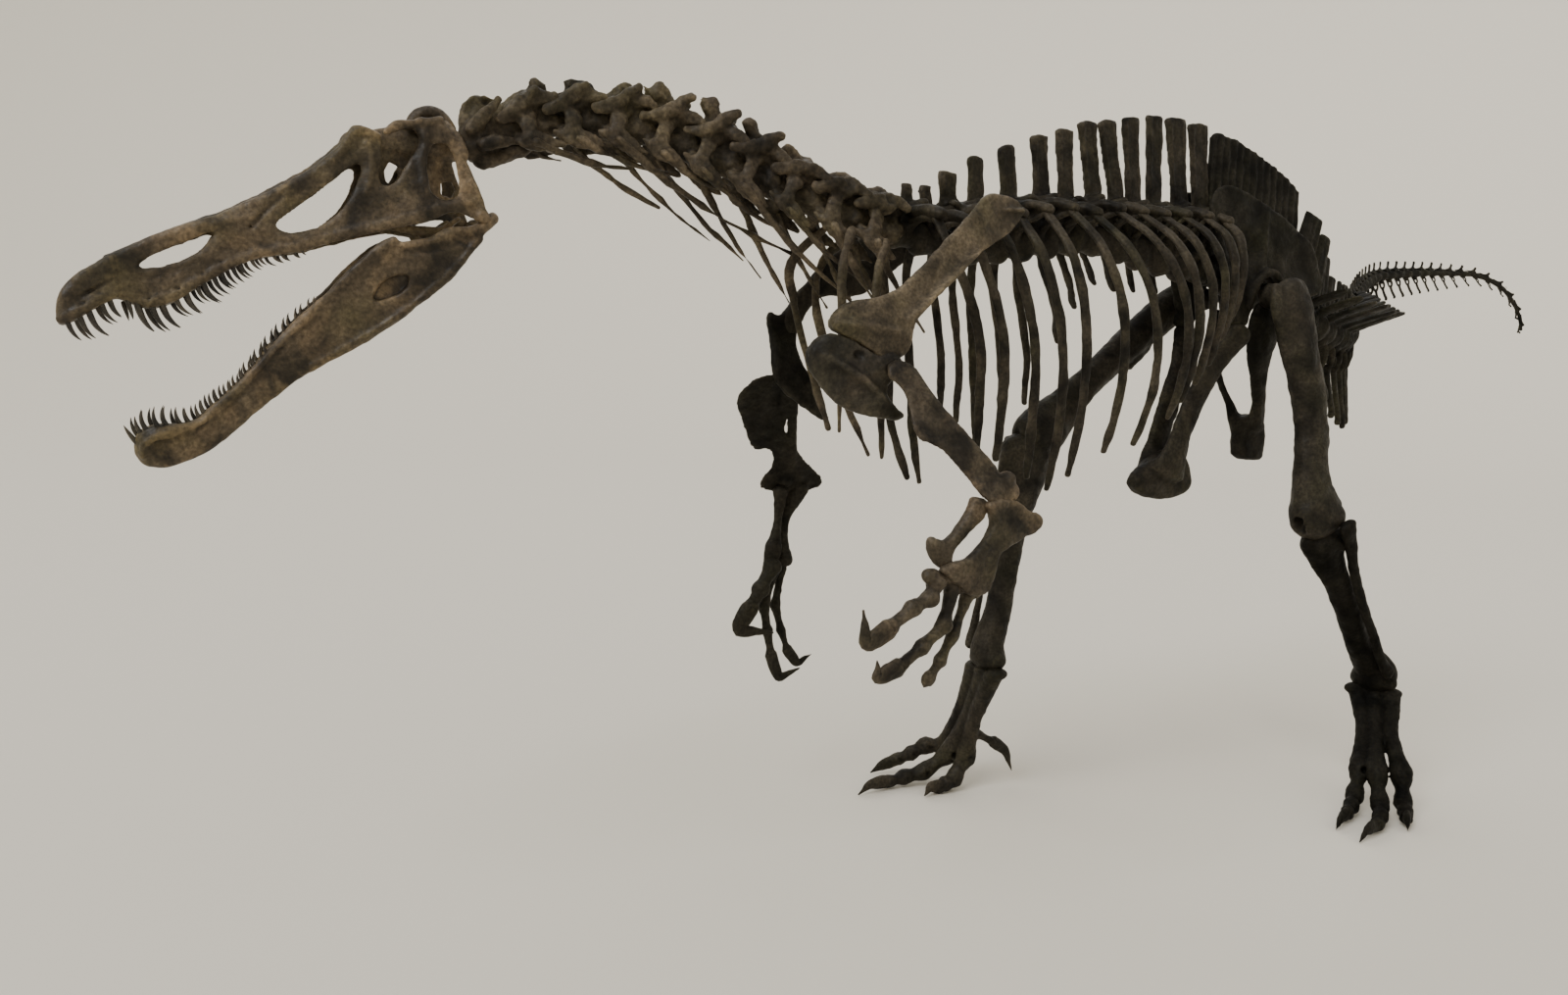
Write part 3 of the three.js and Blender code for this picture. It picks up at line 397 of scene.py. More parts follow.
def loft(rows, up=(0, 0, 1), sides=12, per=5):
    """A closed round bar along rows of x, y, z, half width across and half height towards up."""
    rows = np.array([tuple(row) + (row[3],) if len(row) == 4 else tuple(row) for row in rows], float)
    rows = spline(rows, per)
    rows[:, 3:] = np.maximum(rows[:, 3:], 0.6)
    along = np.gradient(rows[:, :3], axis=0)
    along /= np.linalg.norm(along, axis=1)[:, None]
    across = np.cross(along, up)
    across /= np.linalg.norm(across, axis=1)[:, None]
    rise = np.cross(across, along)
    angle = np.linspace(0, 2 * math.pi, sides, endpoint=False)
    cos, sin = np.cos(angle), np.sin(angle)
    rings = []
    small = rows[:, 3:].min(1)
    for k in range(len(rows)):
        rings.append((rows[k, :3], rows[k, 3], rows[k, 4], across[k], rise[k]))
    for share, out in ((0.85, 0.5), (0.45, 0.9)):
        for end, sign in ((0, -1), (-1, 1)):
            centre = rows[end, :3] + along[end] * sign * out * small[end]
            ring = (centre, rows[end, 3] * share, rows[end, 4] * share, across[end], rise[end])
            rings.insert(0 if end == 0 else len(rings), ring)
    points = [
        centre + np.outer(cos * w, side) + np.outer(sin * h, top)
        for centre, w, h, side, top in rings
    ]
    faces = []
    for r in range(len(rings) - 1):
        for k in range(sides):
            a, b = r * sides + k, r * sides + (k + 1) % sides
            faces.append((a, a + sides, b + sides, b))
    last = (len(rings) - 1) * sides
    faces.append(tuple(range(sides)))
    faces.append(tuple(last + k for k in reversed(range(sides))))
    return np.vstack(points), faces


class Piece:
    """A bone: one or more closed skins that become one object."""

    def __init__(self, name):
        self.name = name
        self.points = []
        self.faces = []
        self.count = 0

    def add(self, skin, matrix=None):
        points, faces = skin
        if matrix is not None:
            points = points @ np.array(matrix)[:3, :3].T + np.array(matrix)[:3, 3]
        self.points.append(points)
        self.faces += (np.array(faces) + self.count).tolist() if isinstance(faces, np.ndarray) else [
            tuple(k + self.count for k in face) for face in faces
        ]
        self.count += len(points)

    def finish(self, material, slot, nodes, rough=(), relax=1):
        mesh = bpy.data.meshes.new(self.name)
        points = np.vstack(self.points)
        mesh.from_pydata(points.tolist(), [], self.faces)
        mesh.update()
        for size, amount in rough:
            normals = np.empty(len(mesh.vertices) * 3, np.float32)
            mesh.vertices.foreach_get("normal", normals)
            points = points + normals.reshape(-1, 3) * (noise(points, size) * amount)[:, None]
        mesh.vertices.foreach_set("co", ((points + ORIGIN) * MM).astype(np.float32).ravel())
        mesh.polygons.foreach_set("use_smooth", [True] * len(mesh.polygons))
        mesh.update()
        thing = bpy.data.objects.new(self.name, mesh)
        bpy.context.scene.collection.objects.link(thing)
        mesh.materials.append(material)
        if relax:
            smooth = thing.modifiers.new("relax", "SMOOTH")
            smooth.factor = 0.5
            smooth.iterations = relax
        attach(thing, "root")
        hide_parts(*nodes)


def cast(name, clay, material, slot, nodes, rough, matrix=None):
    """One bone made of the clay's skin alone."""
    piece = Piece(name)
    piece.add(clay.skin(matrix))
    piece.finish(material, slot, nodes, rough)


def frames_along(route, count, per=24):
    """A matrix at the middle of each vertebra: x to the tail, y to the right, z up."""
    curve = spline(route, per)
    steps = np.linalg.norm(np.diff(curve, axis=0), axis=1)
    run = np.concatenate([[0], np.cumsum(steps)])

    def at(share):
        return np.array([np.interp(share * run[-1], run, curve[:, k]) for k in range(3)])

    matrices = []
    for k in range(count):
        share = (k + 0.5) / count
        back = at(min(1, share + 0.25 / count)) - at(max(0, share - 0.25 / count))
        back /= np.linalg.norm(back)
        right = np.cross((0, 0, 1), back)
        right /= np.linalg.norm(right)
        matrix = np.eye(4)
        matrix[:3, 0], matrix[:3, 1], matrix[:3, 2] = back, right, np.cross(back, right)
        matrix[:3, 3] = at(share)
        matrices.append(matrix)
    return matrices, run[-1] / count / 2


def upright(matrix):
    """The same place without the vertebra's own pitch."""
    level = np.eye(4)
    level[:3, 3] = matrix[:3, 3]
    return level


# Materials

def fossil(name, tone, patch, rough=0.5, shine=0.2):
    """Old brown bone: blotches, patches and grain in the colour, painted shade in pits and creases, worn
    edges, a dull polish.
    """
    dark, mid, light = (tuple(channel * share for channel in tone) for share in (0.3, 1.0, 2.0))
    material = bpy.data.materials.new(name)
    material.use_nodes = True
    nodes, links = material.node_tree.nodes, material.node_tree.links
    shader = nodes["Principled BSDF"]
    shader.inputs["Specular IOR Level"].default_value = shine
    place = nodes.new("ShaderNodeTexCoord")

    def field(scale, detail, distort=0.0):
        texture = nodes.new("ShaderNodeTexNoise")
        texture.inputs["Scale"].default_value = scale
        texture.inputs["Detail"].default_value = detail
        texture.inputs["Distortion"].default_value = distort
        links.new(place.outputs["Object"], texture.inputs["Vector"])
        return texture.outputs["Fac"]

    def ramp(source, stops):
        node = nodes.new("ShaderNodeValToRGB")
        elements = node.color_ramp.elements
        while len(elements) < len(stops):
            elements.new(0.5)
        for element, (position, colour) in zip(elements, stops):
            element.position = position
            element.color = (*colour, 1)
        links.new(source, node.inputs["Fac"])
        return node.outputs["Color"]

    def blend(kind, factor, first, second):
        node = nodes.new("ShaderNodeMix")
        node.data_type = "RGBA"
        node.blend_type = kind
        if isinstance(factor, float):
            node.inputs["Factor"].default_value = factor
        else:
            links.new(factor, node.inputs["Factor"])
        links.new(first, node.inputs["A"])
        links.new(second, node.inputs["B"])
        return node.outputs["Result"]

    def grey(*stops):
        return [(position, (value,) * 3) for position, value in stops]

    blotch = ramp(field(7, 6, 0.6), [(0.34, dark), (0.48, mid), (0.66, light)])
    tan = ramp(field(2.6, 3, 0.4), [(0.5, patch), (1.0, patch)])
    where = ramp(field(3.4, 5, 1.2), grey((0.54, 0), (0.68, 0.8)))
    colour = blend("MIX", where, blotch, tan)
    olive = ramp(field(4.7, 3), [(0.45, (1, 1, 1)), (0.7, (0.84, 0.92, 0.7))])
    colour = blend("MULTIPLY", 0.8, colour, olive)
    speckle = ramp(field(85, 8, 0.3), grey((0.32, 0.45), (0.52, 1.0), (0.72, 1.6)))
    colour = blend("MULTIPLY", 0.75, colour, speckle)
    geometry = nodes.new("ShaderNodeNewGeometry")
    # Pointiness darkens concave pits and creases as painted shade and lightens convex edges as wear
    crevice_shade_and_edge_wear = ramp(geometry.outputs["Pointiness"], grey((0.43, 0.2), (0.495, 0.8), (0.53, 1.2), (0.6, 2.1)))
    colour = blend("MULTIPLY", 0.85, colour, crevice_shade_and_edge_wear)
    links.new(colour, shader.inputs["Base Color"])
    sheen = ramp(field(26, 5), grey((0.35, rough - 0.1), (0.65, rough + 0.16)))
    links.new(sheen, shader.inputs["Roughness"])
    grain = nodes.new("ShaderNodeBump")
    grain.inputs["Strength"].default_value = 0.6
    grain.inputs["Distance"].default_value = 0.004
    links.new(field(70, 9), grain.inputs["Height"])
    lumps = nodes.new("ShaderNodeBump")
    lumps.inputs["Strength"].default_value = 0.45
    lumps.inputs["Distance"].default_value = 0.012
    links.new(field(24, 5, 0.5), lumps.inputs["Height"])
    links.new(grain.outputs["Normal"], lumps.inputs["Normal"])
    links.new(lumps.outputs["Normal"], shader.inputs["Normal"])
    return material


HEAD = fossil("head_bone", (0.06, 0.045, 0.028), (0.2, 0.142, 0.08), 0.46, 0.25)
NECK = fossil("neck_bone", (0.037, 0.029, 0.0192), (0.112, 0.087, 0.056), 0.55, 0.17)

BLADE = fossil("blade_bone", (0.064, 0.05, 0.032), (0.19, 0.15, 0.095), 0.52, 0.2)

ARM = fossil("arm_bone", (0.038, 0.03, 0.0205), (0.115, 0.084, 0.052), 0.52, 0.2)

BODY = fossil("body_bone", (0.0195, 0.0162, 0.0112), (0.045, 0.0365, 0.0245), 0.55, 0.14)
SLATE = fossil("slate_bone", (0.027, 0.0225, 0.0165), (0.06, 0.046, 0.031), 0.5, 0.2)
LEG = fossil("leg_bone", (0.0182, 0.0154, 0.011), (0.042, 0.0345, 0.0235), 0.56, 0.14)

DARK = fossil("dark_bone", (0.0118, 0.0105, 0.0075), (0.0235, 0.02, 0.014), 0.6, 0.1)
BLACK = fossil("black_bone", (0.0062, 0.0055, 0.004), (0.0125, 0.0108, 0.0076), 0.62, 0.07)

ENAMEL = fossil("tooth_enamel", (0.017, 0.0138, 0.0102), (0.06, 0.046, 0.03), 0.32, 0.4)

# Tones of the left and the right side; the darker right shoulder blade, coracoid and arm materials are
# painted shade on the right side, away from the light
BLADE_TONE_AND_SHADE = {"left": BLADE, "right": BODY}
CORACOID_TONE_AND_SHADE = {"left": SLATE, "right": DARK}
ARM_TONE_AND_SHADE = {"left": ARM, "right": DARK}
LEG_TONE = {"left": BLACK, "right": LEG}

# Skull and lower jaw. Their grid runs forward of the hinge, above its line, and across.

SKULL_OUTLINE = [
    (1250, -30), (1228, 38), (1206, 60), (1182, 79), (1137, 99), (1067, 123), (958, 148), (878, 158),
    (773, 173), (668, 198), (598, 213), (502, 243), (422, 283), (372, 308), (343, 341), (328, 344),
    (300, 326), (275, 311), (245, 314), (220, 326), (180, 326), (75, 332), (68, 290), (58, 260),
    (48, 230), (42, 150), (48, 105), (38, 60), (30, 20), (24, -8), (65, -4), (90, 15), (120, 40),
    (190, 35), (240, 25), (325, 30), (395, 30), (485, 25), (610, 25), (710, 35), (770, 25), (845, 0),
    (905, -25), (950, -40), (990, -45), (1030, -40), (1060, -20), (1085, 5), (1115, 5), (1155, -10),
    (1195, -30), (1240, -38),
]
SKULL_WINDOWS = {
    "nostril": [
        (1012, 76), (982, 90), (900, 110), (832, 120), (796, 126), (812, 112), (850, 86), (897, 70),
        (952, 66), (992, 69),
    ],
    "cheek": [
        (628, 114), (626, 98), (608, 86), (566, 79), (528, 83), (492, 94), (444, 118), (408, 149),
        (378, 184), (357, 212), (350, 232), (364, 236), (408, 216), (468, 184), (553, 149), (606, 127),
    ],
    "orbit": [
        (245, 318), (198, 324), (168, 305), (160, 272), (190, 240), (222, 214), (244, 190), (262, 172),
        (294, 158), (312, 172), (300, 205), (280, 232), (272, 270), (262, 298),
    ],
    "temple": [
        (126, 252), (84, 244), (78, 205), (84, 145), (94, 100), (118, 82), (155, 88), (176, 122),
        (180, 160), (152, 215),
    ],
}
SKULL_WIDTH = (
    [-25, 60, 250, 420, 620, 820, 1000, 1060, 1140, 1215, 1255],
    [118, 134, 118, 84, 62, 46, 32, 36, 54, 46, 18],
)
JAW_OUTLINE = [
    (8, 24), (28, 2), (42, 12), (98, 10), (116, 40), (140, 55), (175, 60), (215, 55), (235, 65),
    (270, 75), (298, 90), (302, 110), (325, 121), (360, 121), (415, 111), (495, 96), (560, 77), (605, 71),
    (665, 66), (745, 50), (845, 15), (935, -15), (1005, -15), (1055, -25), (1100, -20), (1140, 10),
    (1185, 30), (1225, 26), (1252, -5), (1260, -35), (1255, -60), (1235, -80), (1205, -97), (1170, -107),
    (1100, -119), (1020, -113), (895, -99), (770, -85), (660, -92), (545, -105), (440, -105), (290, -91),
    (215, -77), (135, -38), (65, -22), (26, -14), (0, -6), (-8, 10),
]
JAW_WINDOW = [(462, -10), (430, 12), (385, 17), (345, 6), (333, -6), (350, -26), (385, -32), (428, -26)]
JAW_WIDTH = (
    [-40, 60, 250, 420, 620, 820, 1000, 1080, 1170, 1225, 1262],
    [112, 122, 112, 84, 62, 46, 34, 38, 52, 42, 16],
)
ROOF_HEIGHT = 360
ROOF_NARROWING = 0.42
UPPER_EDGE = (
    [485, 610, 710, 770, 845, 905, 950, 990, 1030, 1060, 1085, 1115, 1155, 1195],
    [25, 25, 35, 25, 0, -25, -40, -45, -40, -20, 5, 5, -10, -30],
)
LOWER_EDGE = (
    [600, 665, 745, 845, 935, 1005, 1055, 1100, 1140, 1185, 1225],
    [70, 65, 50, 15, -15, -15, -25, -20, 10, 30, 26],
)


def head_matrix(pitch):
    """From forward, above and across into the body's axes."""
    tilt = math.radians(pitch)
    matrix = np.eye(4)
    matrix[:3, 0] = (-math.cos(tilt), 0, -math.sin(tilt))
    matrix[:3, 1] = (-math.sin(tilt), 0, math.cos(tilt))
    matrix[:3, 2] = (0, 1, 0)
    matrix[:3, 3] = JAW_HINGE
    return matrix


def skull_half(s, h):
    rise = np.maximum(0, h) / ROOF_HEIGHT
    return np.interp(s, *SKULL_WIDTH) * (1 - ROOF_NARROWING * rise)


def jaw_half(s, h):
    return np.interp(s, *JAW_WIDTH) + 0 * h


def even(value):
    """The same value all over a plate."""
    return lambda u, v: value + 0 * u * v


nothing = even(0)


def on_walls(clay, half, rows, out=0, **options):
    """The same raised bar on both sides of a head; rows are forward, above, half width and half height."""
    for sign in (-1, 1):
        walls = [(s, h, sign * (float(half(s, h)) + out), w, t) for s, h, w, t in rows]
        clay.limb(walls, up=ACROSS, **options)


INNER_WALL = [
    (60, 330), (300, 335), (318, 250), (322, 190), (318, 150), (270, 140), (205, 130), (186, 84),
    (60, 84),
]

INNER_GAP = [(250, 232), (229, 214), (236, 186), (260, 162), (276, 176), (274, 208)]

TEMPLE_GAP = [(112, 142), (80, 142), (72, 112), (95, 92), (121, 107)]


# Tooth-bearing edges, cheek bones, bars round the windows and the brow knobs: how far out from the
# wall, and the rows of each bar
SKULL_BARS = [
    (-6, [(560, 36, 11, 13), (725, 42, 11, 13), (870, 8, 12, 14), (950, -20, 14, 15), (1020, -22, 12, 13)]),
    (-7, [(1090, 18, 12, 12), (1150, 4, 14, 14), (1205, -12, 14, 13), (1238, -20, 12, 10)]),
    (-6, [(48, 6, 22, 16), (46, 70, 13, 15), (52, 150, 12, 13), (64, 230, 12, 14), (84, 300, 14, 14)]),
    (-5, [(70, 60, 13, 13), (160, 62, 12, 14), (300, 52, 11, 14), (480, 48, 11, 12), (560, 50, 9, 10)]),
    (-4, [
        (196, 110, 16, 9), (184, 170, 13, 12), (170, 222, 14, 12), (146, 262, 14, 13), (140, 322, 15, 15),
    ]),
    (-4, [(362, 150, 11, 8), (336, 190, 12, 10), (316, 236, 14, 12), (312, 286, 15, 14)]),
    (-3, [
        (425, 258, 12, 12), (380, 289, 13, 14), (340, 325, 15, 17), (318, 327, 15, 16),
        (280, 306, 12, 13),
    ]),
    (-2, [
        (250, 311, 11, 12), (215, 322, 14, 16), (182, 322, 12, 13), (120, 319, 12, 12), (84, 319, 14, 14),
    ]),
    (-6, [(640, 142, 9, 9), (740, 150, 11, 11), (800, 138, 8, 9)]),
]


def make_skull():
    clay = Clay((-40, -80, -150), (1290, 405, 150), GRID["skull"])
    clay.slab(
        rounded(SKULL_OUTLINE, 1), nothing, skull_half, flat=(0, 1), edge=20,
        holes=[rounded(hole, 1) for hole in SKULL_WINDOWS.values()],
    )
    hollow = [
        (20, 60), (20, 250), (130, 312), (300, 318), (440, 240), (600, 185), (1000, 100), (1010, 22),
        (640, 62), (600, 0), (420, -60), (160, -60), (20, -60),
    ]
    clay.slab(
        hollow, nothing, lambda s, h: np.maximum(5, skull_half(s, h) - 16), flat=(0, 1), cut=True,
        edge=12,
    )
    # Braincase, the wall between the eyes, the palate's wings and the crest at the back of the head
    clay.limb([
        (34, 236, 0, 38, 40), (110, 262, 0, 40, 52), (200, 286, 0, 26, 46), (290, 300, 0, 16, 28),
    ], up=ACROSS)
    clay.limb([
        (120, 210, 0, 30, 34), (150, 170, 0, 18, 24), (210, 120, 0, 10, 18), (300, 70, 0, 14, 16),
    ], up=ACROSS)
    clay.slab(INNER_WALL, nothing, even(9), flat=(0, 1), edge=8, holes=[INNER_GAP, TEMPLE_GAP])
    clay.ball((22, 236, 0), (24, 26, 26))
    clay.limb([
        (158, 322, 0, 16, 14), (134, 345, 0, 22, 20), (96, 356, 0, 26, 22), (60, 338, 0, 24, 26),
        (46, 292, 0, 22, 30),
    ], up=ACROSS)
    for sign in (-1, 1):
        clay.limb([
            (60, 300, sign * 30, 16, 24), (48, 250, sign * 70, 16, 26), (44, 200, sign * 96, 14, 22),
        ], up=ACROSS)
        clay.limb([
            (330, 48, sign * 40, 12, 9), (240, 16, sign * 50, 13, 12), (170, 2, sign * 58, 12, 16),
            (110, 22, sign * 70, 11, 12),
        ], up=(0, 0, 1))
        clay.ball((215, -2, sign * 56), (26, 14, 10))
    for out, rows in SKULL_BARS:
        on_walls(clay, skull_half, rows, out)
    # Foramina and grooves of the snout
    on_walls(
        clay, skull_half, [(1190, 20, 5, 5), (1080, 52, 5, 5), (980, 38, 4, 5), (840, 58, 4, 4)], 2,
        cut=True, blend=6,
    )
    on_walls(
        clay, skull_half, [(700, 120, 16, 7), (640, 160, 12, 6), (590, 188, 8, 5)], 5, cut=True, blend=8,
    )
    for s in (1170, 1130, 1075, 1010, 930, 860, 800, 730):
        edge = float(np.interp(s, *UPPER_EDGE))
        on_walls(clay, skull_half, [(s, edge + 26, 4, 5), (s + 9, edge + 29, 4, 5)], 1, cut=True, blend=3)
    clay.limb([
        (360, 314, 0, 9, 9), (520, 236, 0, 9, 10), (760, 174, 0, 8, 9), (1080, 116, 0, 6, 7),
    ], up=ACROSS)
    cast("skull_bone", clay, HEAD, "head_bone", ["skull"], ROUGH["skull"], head_matrix(SKULL_PITCH))


# Raised bars of the jaw: how far out from the wall, and the rows of each bar
JAW_BARS = [
    (-8, [(14, 6, 20, 19), (70, 2, 17, 16), (140, 30, 14, 12), (220, 44, 13, 10), (300, 82, 13, 10)]),
    (-8, [(310, 104, 14, 12), (420, 96, 13, 12), (540, 70, 11, 11), (660, 50, 10, 12)]),
    (-7, [
        (90, -24, 14, 13), (220, -62, 16, 13), (400, -84, 18, 12), (560, -84, 16, 12), (720, -76, 14, 12),
    ]),
    (-7, [(640, 48, 12, 12), (850, 0, 14, 14), (1005, -32, 14, 15), (1060, -42, 15, 15)]),
    (-8, [(1080, -38, 16, 14), (1150, -14, 20, 16), (1210, -4, 22, 15), (1238, -30, 20, 12)]),
]


def make_jaw():
    clay = Clay((-60, -150, -150), (1290, 145, 150), GRID["jaw"])
    clay.slab(
        rounded(JAW_OUTLINE, 1), nothing, jaw_half, flat=(0, 1), holes=[rounded(JAW_WINDOW, 1)], edge=18,
    )
    hollow = [(-120, -200), (-120, 200), (300, 200), (620, 160), (1060, 80), (1060, -160), (620, -200)]
    clay.slab(
        hollow, nothing, lambda s, h: np.maximum(4, jaw_half(s, h) - 22), flat=(0, 1), cut=True, edge=8,
    )
    # Inner plates behind the windows
    on_walls(clay, jaw_half, [(250, -30, 5, 40), (380, -20, 5, 60), (520, -20, 5, 44)], -28, blend=3)
    for out, rows in JAW_BARS:
        on_walls(clay, jaw_half, rows, out)
    on_walls(clay, jaw_half, [
        (1215, 0, 3.5, 5), (1150, -38, 4, 5), (1075, -50, 4, 6), (950, -42, 4, 6), (830, -8, 4, 6),
        (740, 20, 3.5, 5), (640, 34, 3, 4),
    ], 1, cut=True, blend=4)
    on_walls(clay, jaw_half, [(300, 60, 9, 8), (220, 20, 9, 8), (120, -4, 8, 7)], 4, cut=True, blend=12)
    cast("jaw_bone", clay, HEAD, "head_bone", ["lower_jaw"], ROUGH["jaw"], head_matrix(JAW_PITCH))


def tooth_row(name, rows, half, pitch, inset):
    """Teeth along both sides of the mouth; each row is forward, height, lean and length."""
    piece = Piece(name)
    for sign in (-1, 1):
        for k, (s, h, lean, length) in enumerate(rows):
            radius = 3 + abs(length) * 0.072
            across = sign * (float(half(s, h)) - inset)
            shift = 5 * sign * (k % 2)
            path = [
                (s + shift, h - 0.3 * length, across, radius * 0.85, radius),
                (s + shift, h, across, radius * 0.9, radius * 1.1),
                (s + shift + lean * 0.12, h + 0.4 * length, across, radius * 0.74, radius * 0.9),
                (s + shift + lean * 0.5, h + 0.75 * length, across, radius * 0.44, radius * 0.54),
                (s + shift + lean, h + length, across, radius * 0.08, radius * 0.1),
            ]
            piece.add(loft(path, up=BACKWARD, sides=8, per=3), head_matrix(pitch))
    piece.finish(ENAMEL, "head_bone", [], relax=0)


UPPER_TEETH = [
    (1224, -36, -16, -50), (1196, -36, -18, -54), (1166, -28, -26, -62), (1136, -10, -22, -52),
    (1108, -6, -14, -42), (1072, -22, 2, -40), (1046, -40, -18, -66), (1018, -46, -24, -68),
    (986, -46, -26, -66), (952, -36, -28, -50), (918, -26, -24, -60), (890, -18, -20, -42),
    (866, -10, -30, -58), (840, 0, -26, -52), (812, 8, -24, -46), (784, 18, -18, -46),
    (757, 24, -22, -42), (729, 30, -18, -34), (702, 34, -14, -28), (668, 30, -22, -28),
    (640, 28, -12, -22), (612, 26, -10, -19), (584, 26, -8, -15),
]


def lower_teeth():
    chin = [
        (1232, -3, 40), (1212, -16, 46), (1190, -24, 47), (1166, -26, 46), (1141, -28, 44),
        (1116, -20, 44), (1090, -16, 42),
    ]
    rows = [(s, float(np.interp(s, *LOWER_EDGE)) - 8, lean, length + 6) for s, lean, length in chin]
    for k in range(20):
        s = 1064 - 24 * k
        rows.append((s, float(np.interp(s, *LOWER_EDGE)) - 6, -15, 42 - 0.9 * k))
    return rows


# Backbone

NECK_RIB_THICK = {"left": 13.5, "right": 12}
# How far a neck rib runs outward on its way back
NECK_RIB_OUT = {"left": 14, "right": -20}


def neck_vertebra(number, matrix, half):
    """One neck vertebra with its pair of ribs; the clay's x runs back along the neck."""
    g = 0.92 + 0.03 * number
    clay = Clay((-half - 75, -130, -150), (half + 75, 130, 235), GRID["neck"])
    turn = matrix[:3, :3].T
    clay.limb([
        (-half * 1.02, 0, -8, 42 * g, 44 * g), (-half * 0.2, 0, -14, 34 * g, 38 * g),
        (half * 0.96, 0, -6, 45 * g, 47 * g),
    ])
    clay.limb([(-half * 0.8, 0, 44 * g, 40 * g, 31 * g), (half * 0.8, 0, 54 * g, 42 * g, 33 * g)], blend=14)
    clay.limb([
        (-half * 0.9, 0, 68 * g, 15, 20), (0, 0, 86 * g, 16, 28), (half * 0.9, 0, 82 * g, 15, 20),
    ], blend=14)
    lean, top, wide = NECK_CREST[number - 1]
    tip = turn @ np.array((lean, 0, top - 12.0))
    clay.limb([
        (*mix((0, 0, 66 * g), tip, 0), 17, wide * 0.95), (*mix((0, 0, 66 * g), tip, 0.55), 12, wide * 0.84),
        (*mix((0, 0, 66 * g), tip, 0.9), 15, wide), (*tip, 14, wide * 0.84),
    ], up=BACKWARD, blend=12)
    for k in (-0.62, -0.1, 0.5):
        for sign in (-1, 1):
            root = mix((0, 0, 70 * g), tip, 0.1) + (wide * k, sign * 13, 0)
            clay.limb([(*root, 5, 6), (*(tip + (wide * k, sign * 13, -4)), 6, 6)], blend=5)
    knob = NECK_KNOB[number - 1]
    for sign in (-1, 1):
        clay.limb([
            (-half * 1.38, sign * 58 * g, 26 * g, 17, 12), (-half * 0.95, sign * 60 * g, 36 * g, 22, 15),
            (-half * 0.35, sign * 57 * g, 60 * g, 24, 17), (half * 0.1, sign * 56 * g, knob * 0.82, 20, 17),
            (half * 0.42, sign * 58 * g, knob, 16, 15),
        ], up=ACROSS, blend=15)
        clay.limb([
            (half * 0.0, sign * 34 * g, 72 * g, 24, 18), (half * 0.62, sign * 52 * g, 72 * g, 23, 14),
            (half * 1.16, sign * 60 * g, 60 * g, 18, 11),
        ], up=ACROSS, blend=14)
        clay.limb([
            (half * 0.15, sign * 52 * g, knob * 0.8, 12, 17), (half * 0.1, sign * 14, 92 * g, 13, 20),
        ], blend=13)
        clay.limb([
            (-half * 0.7, sign * 48 * g, 46 * g, 26, 15), (-half * 0.3, sign * 16, 74 * g, 24, 16),
        ], blend=14)
        clay.limb([
            (-half * 0.2, sign * 34 * g, 36 * g, 32, 19), (-half * 0.28, sign * 62 * g, 4, 27, 15),
            (-half * 0.34, sign * 74 * g, -36 * g, 25, 13),
        ], up=ACROSS, blend=12)
        clay.ball((-half * 0.62, sign * 38 * g, -34 * g), (26, 20, 20))
        clay.ball((half * 0.42, sign * 48 * g, 14), (half * 0.3, 15, 17), cut=True, blend=6)
        clay.ball((-half * 0.8, sign * 46 * g, 6), (13, 15, 14), cut=True, blend=5)
        clay.ball((half * 0.02, sign * 74 * g, 36), (20, 16, 13), cut=True, blend=6)
        # Rib heads: a plate with a point forward, under the vertebra's side
        clay.limb([
            (-half * 1.1, sign * 62 * g, -44 * g, 7, 8), (-half * 0.6, sign * 70 * g, -54 * g, 23, 14),
            (-half * 0.1, sign * 75 * g, -66 * g, 31, 14), (half * 0.45, sign * 75 * g, -76 * g, 22, 11),
            (half * 1.0, sign * 70 * g, -88 * g, 7, 7),
        ], up=ACROSS, blend=11)
        clay.limb([
            (-half * 0.7, sign * 32 * g, -38 * g, 18, 17), (-half * 0.35, sign * 66 * g, -56 * g, 19, 15),
        ], blend=12)
    piece = Piece(f"neck_bone_{number}")
    piece.add(clay.skin(matrix))
    for side, sign in SIDES.items():
        back, down = NECK_RIBS[side][number - 1]
        root = np.array((half * 0.0, sign * 75 * g, -72 * g))
        run = turn @ np.array((back, sign * NECK_RIB_OUT[side], -down), float)
        sag = turn @ np.array((0, 0, -0.05 * math.hypot(back, down)))
        thick = NECK_RIB_THICK[side]
        piece.add(loft([
            (*(root - run * 0.04), thick, thick * 2.4),
            (*(root + run * 0.1 + sag * 0.4), thick * 0.95, thick * 1.6),
            (*(root + run * 0.25 + sag * 0.8), thick * 0.85, thick * 1.1),
            (*(root + run * 0.6 + sag), thick * 0.66, thick * 0.78), (*(root + run), 3.2, 3.8),
        ], up=ACROSS, sides=10), matrix)
    return piece


# The long thin ribs of the last two neck vertebrae, by vertebra number and side
LONG_NECK_RIBS = {
    (9, "left"): [
        (-2068, -92, 2300), (-2130, -140, 2180), (-2135, -150, 2010), (-2120, -130, 1800),
        (-2093, -100, 1617),
    ],
    (9, "right"): [
        (-2068, 92, 2320), (-2152, 160, 2200), (-2118, 185, 2050), (-2040, 190, 1830), (-1954, 190, 1618),
    ],
    (10, "left"): [
        (-1924, -92, 2270), (-1990, -140, 2150), (-1985, -150, 1960), (-1950, -130, 1730),
        (-1911, -100, 1525),
    ],
    (10, "right"): [
        (-1944, 92, 2300), (-2024, 160, 2215), (-2026, 182, 2030), (-1905, 190, 1760), (-1768, 190, 1516),
    ],
}


def long_neck_rib(points):
    """A rib from its vertebra's underside down to its free end."""
    sizes = [(15, 11), (17, 11), (17, 11), (15, 10), (9, 7)]
    return loft([(*point, deep, thick) for point, (deep, thick) in zip(points, sizes)], up=ACROSS, sides=10)


